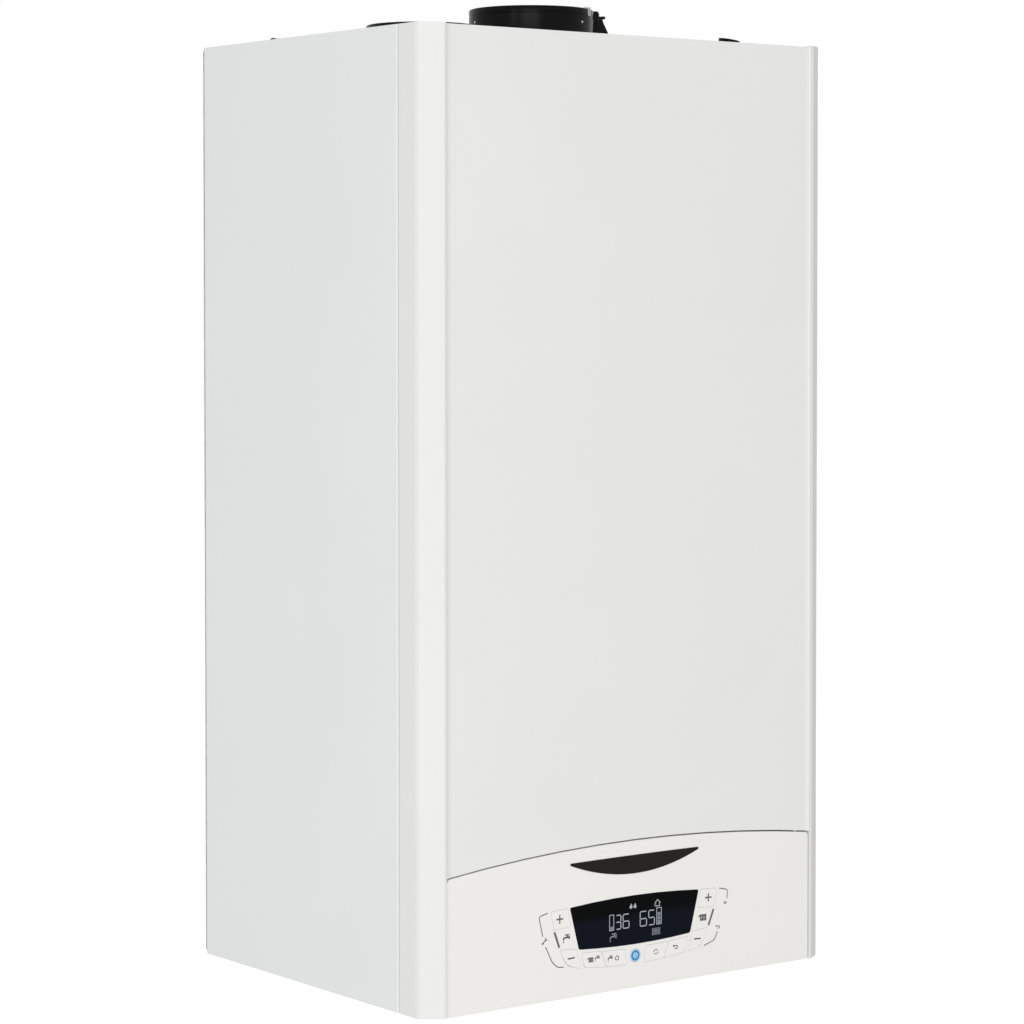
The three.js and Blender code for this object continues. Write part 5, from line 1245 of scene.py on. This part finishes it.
    @staticmethod
    def screw_head(name: str, radius: float, height: float) -> Piece:
        """Make a pan head with a round dished recess.

        Args:
            name: Name of the head.
            radius: Radius in millimetres.
            height: Height in millimetres.

        Returns:
            The head, standing on the origin.
        """
        low = height * 0.45
        profile = [
            (radius, 0), (radius, height * 0.35), (radius * 0.93, height * 0.7),
            (radius * 0.72, height * 0.94), (radius * 0.5, height), (radius * 0.46, height),
            (radius * 0.3, low), (radius * 0.12, low * 0.9),
        ]
        return Bench.smoothed(Bench.turned(name, profile, 24))

    def intake_cap(self) -> None:
        """Make the cap that closes the second air opening."""
        r, top = self.cap_radius, self.cap_top
        profile = [
            (35.8, 47), (35.8, 31.4), (36.4, 31), (38.4, 31), (39, 31.6), (39, 45.3), (r, 45.3),
            (r, top - 1.5), (r - 0.3, top - 0.6), (r - 1, top), (34, top), (33.2, top - 0.4),
            (31.6, top - 2), (30.8, top - 2.4), (9, top - 2.4), (8.4, top - 2.1), (7.6, top - 2.1),
            (7, top - 2.4),
        ]
        cap = Bench.smoothed(Bench.turned("intake_cap_moulding", profile, 112))
        cap = Bench.placed(cap, (*self.cap_centre, 0))
        Bench.dressed(cap, BLACK_GLOSS, "boiler_body", "black_gloss")
        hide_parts("intake_cap")

    def plug(self) -> None:
        """Make the slanted plug with its finger tongue."""
        x, y = self.plug_at
        profile = [
            (6.5, 40), (7.0, 40.6), (7.0, 44), (6.6, 45.3), (9.6, 45.3), (9.6, 46.6), (9.0, 47.4),
            (8.7, 55.8),
        ]
        plug = Bench.turned("plug_body", profile, 64)
        Bench.opened(plug)
        slope = Vector(self.plug_lean) * self.plug_tilt + Vector((0, 0, self.plug_upright))
        middle = (0, 0, self.plug_cut * MM)
        bpy.ops.mesh.bisect(plane_co=middle, plane_no=slope, use_fill=True, clear_outer=True)
        Bench.closed()
        Bench.placed(Bench.eased(plug, 0.5), (x, y, 0))
        shape = [(7.5, -4), (15.5, -4), *arc(15.5, 0, 4, -80, 80, 8), (15.5, 4), (7.5, 4)]
        tongue = Bench.slab("plug_tongue", [shape], self.tongue_thickness * MM)
        tongue = Bench.eased(Bench.placed(tongue, (x, y, 45.4)), 0.4)
        piece = Bench.smoothed(Bench.joined("plug_moulding", [plug, tongue]))
        Bench.dressed(piece, BLACK_GLOSS, "boiler_body", "black_gloss")
        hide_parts("top_plug")

    def screws(self) -> None:
        """Make the screws that hold the top plate."""
        places = [(side * x, -86, self.plate) for side in (-1, 1) for x in (185.4, 179.6)]
        head = self.screw_head("top_screws_head", 2.9, 3.2)
        Bench.dressed(Bench.spread("top_screws", head, places), BLACK_SCREW, "boiler_body")

    def build(self) -> None:
        """Make everything that stands on the top plate."""
        self.collar()
        self.collar_parts()
        self.intake_cap()
        self.plug()
        self.screws()


@dataclass
class RoundedNodes:
    """Smooth pieces that take the place of round CAD nodes, with their tails cut to length."""

    nodes: dict[str, Piece]
    tail_cut: float = 0.012
    outlet_cut: float = 0.0145
    tail_line: float = -0.715
    smooth_angle: float = 40.0
    slots: tuple[tuple[Finish, str], ...] = (
        (BRASS, "brass"), (COPPER, "copper"), (GREY_PLASTIC, "grey_plastic"), (RED_PLASTIC, "red_plastic"),
        (VESSEL_RED, "vessel_red"), (CAST_ALUMINIUM, "cast_aluminium"), (STAINLESS, "stainless"),
        (DARK_PLASTIC, "dark_plastic"), (SEAL_RUBBER, "rubber"),
    )
    kept: tuple[str, ...] = (
        "display_module", "control_housing", "test_point_cap", "ignition_box", "chamber_seal",
    )

    def shorten(self, piece: Piece) -> None:
        """Bring the open end of a tail nearer to the casing.

        Args:
            piece: Smooth piece with one or more tails.
        """
        Bench.opened(piece)
        bpy.ops.mesh.select_all(action="DESELECT")
        mesh = bmesh.from_edit_mesh(piece.data)
        for vertex in mesh.verts:
            vertex.select_set(vertex.co.z < self.tail_line)
        mesh.select_flush_mode()
        bmesh.update_edit_mesh(piece.data)
        drain = piece.name.startswith("condensate")
        bpy.ops.transform.translate(value=(0, 0, self.outlet_cut if drain else self.tail_cut))
        bpy.ops.object.mode_set(mode="OBJECT")

    def build(self) -> None:
        """Make each smooth piece in the place of its node."""
        for finish, slot in self.slots:
            for name in (name for name in NODE_FINISHES[finish] if name not in self.kept):
                node = self.nodes[name]
                piece = Bench.copy_of(node, f"{name}_smooth")
                if min(corner.co.z for corner in piece.data.vertices) < self.tail_line:
                    self.shorten(piece)
                Bench.smoothed(piece, self.smooth_angle)
                Bench.dressed(piece, finish, node["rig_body"], slot)
                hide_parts(name)


@dataclass
class PipeFittings:
    """Threads of the tails and screws of the tray, in millimetres."""

    row: float = -140.0
    pitch: float = 65.0
    heating: float = 11.0
    water: float = 8.0
    gas: float = 8.0
    foot: float = -719.0
    tail_end: float = -704.0
    gas_end: float = -706.0
    thread_pitch: float = 1.8

    def thread(self, name: str, radius: float, top: float) -> Piece:
        """Make a tail's outer thread.

        Args:
            name: Name of the piece.
            radius: Radius of the tail.
            top: Height where the thread ends.

        Returns:
            The thread round the Z axis.
        """
        turns = int((top - self.foot) / self.thread_pitch)
        crests = []
        for i in range(turns):
            low = self.foot + i * self.thread_pitch
            crests += [(radius + 0.15, low), (radius + 0.75, low + self.thread_pitch * 0.5)]
        inside = radius - 0.2
        foot = (inside, self.foot)
        return Bench.turned(name, [foot, *crests, (radius + 0.15, top), (inside, top), foot], 48)

    def build(self) -> None:
        """Make the fittings."""
        tails = {-2: self.heating, -1: self.water, 1: self.water, 2: self.heating}
        threads = []
        for step, radius in tails.items():
            thread = self.thread(f"thread_{step + 2}", radius, self.tail_end)
            threads.append(Bench.placed(thread, (step * self.pitch, self.row, 0)))
        Bench.dressed(Bench.joined("tail_threads", threads), BRASS, "boiler_body")
        gas = Bench.placed(self.thread("gas_thread", self.gas, self.gas_end), (0, self.row, 0))
        Bench.dressed(gas, COPPER, "boiler_body")
        head = TopFittings.screw_head("tray_screws_head", 3.6, 2.4)
        corners = ((100, -30), (188, -60), (188, -240))
        places = [(side * x, y, CASE_FOOT / MM) for side in (-1, 1) for x, y in corners]
        screws = Bench.spread("tray_screws", head, places, (180, 0, 0))
        Bench.dressed(screws, STEEL_SCREW, "boiler_body")


# ---------------------------------------------------------------- studio
@dataclass
class Studio:
    """Camera, light and floor."""

    camera_at: Place = (-1.5518, -2.2429, -0.1654)
    camera_turn: Place = (88.20, 0.0, -37.14)
    sensor: float = 36.0
    lens: float = 111.495
    shift: Point = (-0.02732, -0.10456)
    sky: float = 0.66
    lamp_distance: float = 4.0
    lamps: tuple[tuple[Place, float, Point], ...] = (
        ((-0.62, -0.78, 0.12), 0.33, (2.2, 2.2)),
        ((-0.93, -0.36, 0.1), 0.07, (0.4, 1.8)),
    )
    middle: Place = (0.0, -0.16, -0.33)  # point that the lamps look at
    floor_height: float = -1.6
    floor_size: float = 40.0
    floor_tone: float = 0.8
    floor_roughness: float = 0.9
    floor_glow: float = 0.5

    def place_camera(self) -> None:
        """Set up the camera at the photographed angle."""
        turn = [math.radians(a) for a in self.camera_turn]
        bpy.ops.object.camera_add(location=self.camera_at, rotation=turn)
        camera = bpy.context.object
        camera.data.sensor_width = self.sensor
        camera.data.lens = self.lens
        camera.data.shift_x, camera.data.shift_y = self.shift
        bpy.context.scene.camera = camera

    @staticmethod
    def seen(tree: bpy.types.NodeTree) -> Socket:
        """Join the rays that look at the backdrop: from the camera, in gloss and through glass.

        Args:
            tree: Node tree of the world or of the floor.

        Returns:
            1 for such a ray and 0 for others.
        """
        path = tree.nodes.new("ShaderNodeLightPath")
        value = path.outputs["Is Camera Ray"]
        for name in ("Is Glossy Ray", "Is Transmission Ray"):
            either = tree.nodes.new("ShaderNodeMath")
            either.operation = "MAXIMUM"
            tree.links.new(value, either.inputs[0])
            tree.links.new(path.outputs[name], either.inputs[1])
            value = either.outputs[0]
        return value

    def hang_world(self) -> None:
        """Make the world: white to look at, softer as a light."""
        world = bpy.data.worlds.new("studio")
        world.use_nodes = True
        tree = world.node_tree
        shown = tree.nodes["Background"]
        shown.inputs["Color"].default_value = (1, 1, 1, 1)
        shown.inputs["Strength"].default_value = 1.0
        light = tree.nodes.new("ShaderNodeBackground")
        light.inputs["Color"].default_value = (1, 1, 1, 1)
        light.inputs["Strength"].default_value = self.sky
        mix = tree.nodes.new("ShaderNodeMixShader")
        tree.links.new(self.seen(tree), mix.inputs[0])
        tree.links.new(light.outputs[0], mix.inputs[1])
        tree.links.new(shown.outputs[0], mix.inputs[2])
        tree.links.new(mix.outputs[0], tree.nodes["World Output"].inputs[0])
        bpy.context.scene.world = world

    def lay_floor(self) -> None:
        """Lay the pale floor below the hanging boiler."""
        Bench.clear()
        bpy.ops.mesh.primitive_plane_add(size=self.floor_size, location=(0, 0, self.floor_height))
        floor = bpy.context.object
        floor.name = "floor"
        material = bpy.data.materials.new("floor")
        material.use_nodes = True
        tree = material.node_tree
        shader = tree.nodes["Principled BSDF"]
        shader.inputs["Base Color"].default_value = (*[self.floor_tone] * 3, 1)
        shader.inputs["Roughness"].default_value = self.floor_roughness
        glow = tree.nodes.new("ShaderNodeEmission")
        glow.inputs["Strength"].default_value = self.floor_glow
        lifted = tree.nodes.new("ShaderNodeAddShader")
        tree.links.new(shader.outputs[0], lifted.inputs[0])
        tree.links.new(glow.outputs[0], lifted.inputs[1])
        mix = tree.nodes.new("ShaderNodeMixShader")
        tree.links.new(self.seen(tree), mix.inputs[0])
        tree.links.new(shader.outputs[0], mix.inputs[1])
        tree.links.new(lifted.outputs[0], mix.inputs[2])
        tree.links.new(mix.outputs[0], tree.nodes["Material Output"].inputs[0])
        floor.data.materials.append(material)

    def hang_lamp(self, towards: Place, share: float, size: Point) -> None:
        """Hang a large soft lamp that looks at the boiler.

        Args:
            towards: Direction from the boiler to the lamp.
            share: Light on a surface that faces the lamp, where 1 shows a colour as written.
            size: Width and height of the lamp.
        """
        direction = Vector(towards).normalized()
        at = Vector(self.middle) + direction * self.lamp_distance
        bpy.ops.object.light_add(type="AREA", location=at)
        lamp = bpy.context.object
        lamp.rotation_mode = "QUATERNION"
        lamp.rotation_quaternion = direction.to_track_quat("Z", "Y")
        lamp.data.shape = "RECTANGLE"
        lamp.data.size, lamp.data.size_y = size
        lamp.data.energy = math.pi**2 * share * self.lamp_distance**2

    def build(self) -> None:
        """Set up the whole studio."""
        self.place_camera()
        self.hang_world()
        self.lay_floor()
        for lamp in self.lamps:
            self.hang_lamp(*lamp)
        bpy.context.scene.view_settings.view_transform = "Standard"


def main() -> None:
    """Build the looks in order."""
    logging.basicConfig(level=logging.INFO, format="%(name)s: %(message)s")
    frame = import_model()
    Studio().build()
    PackedNodes(frame["nodes"]).dress()
    PanelPrint().build()
    KeySigns().build()
    Display().build()
    NamePlate().build()
    TopFittings().build()
    RoundedNodes(frame["nodes"]).build()
    PipeFittings().build()
    Bench.clear()


if __name__ == "__main__":
    main()
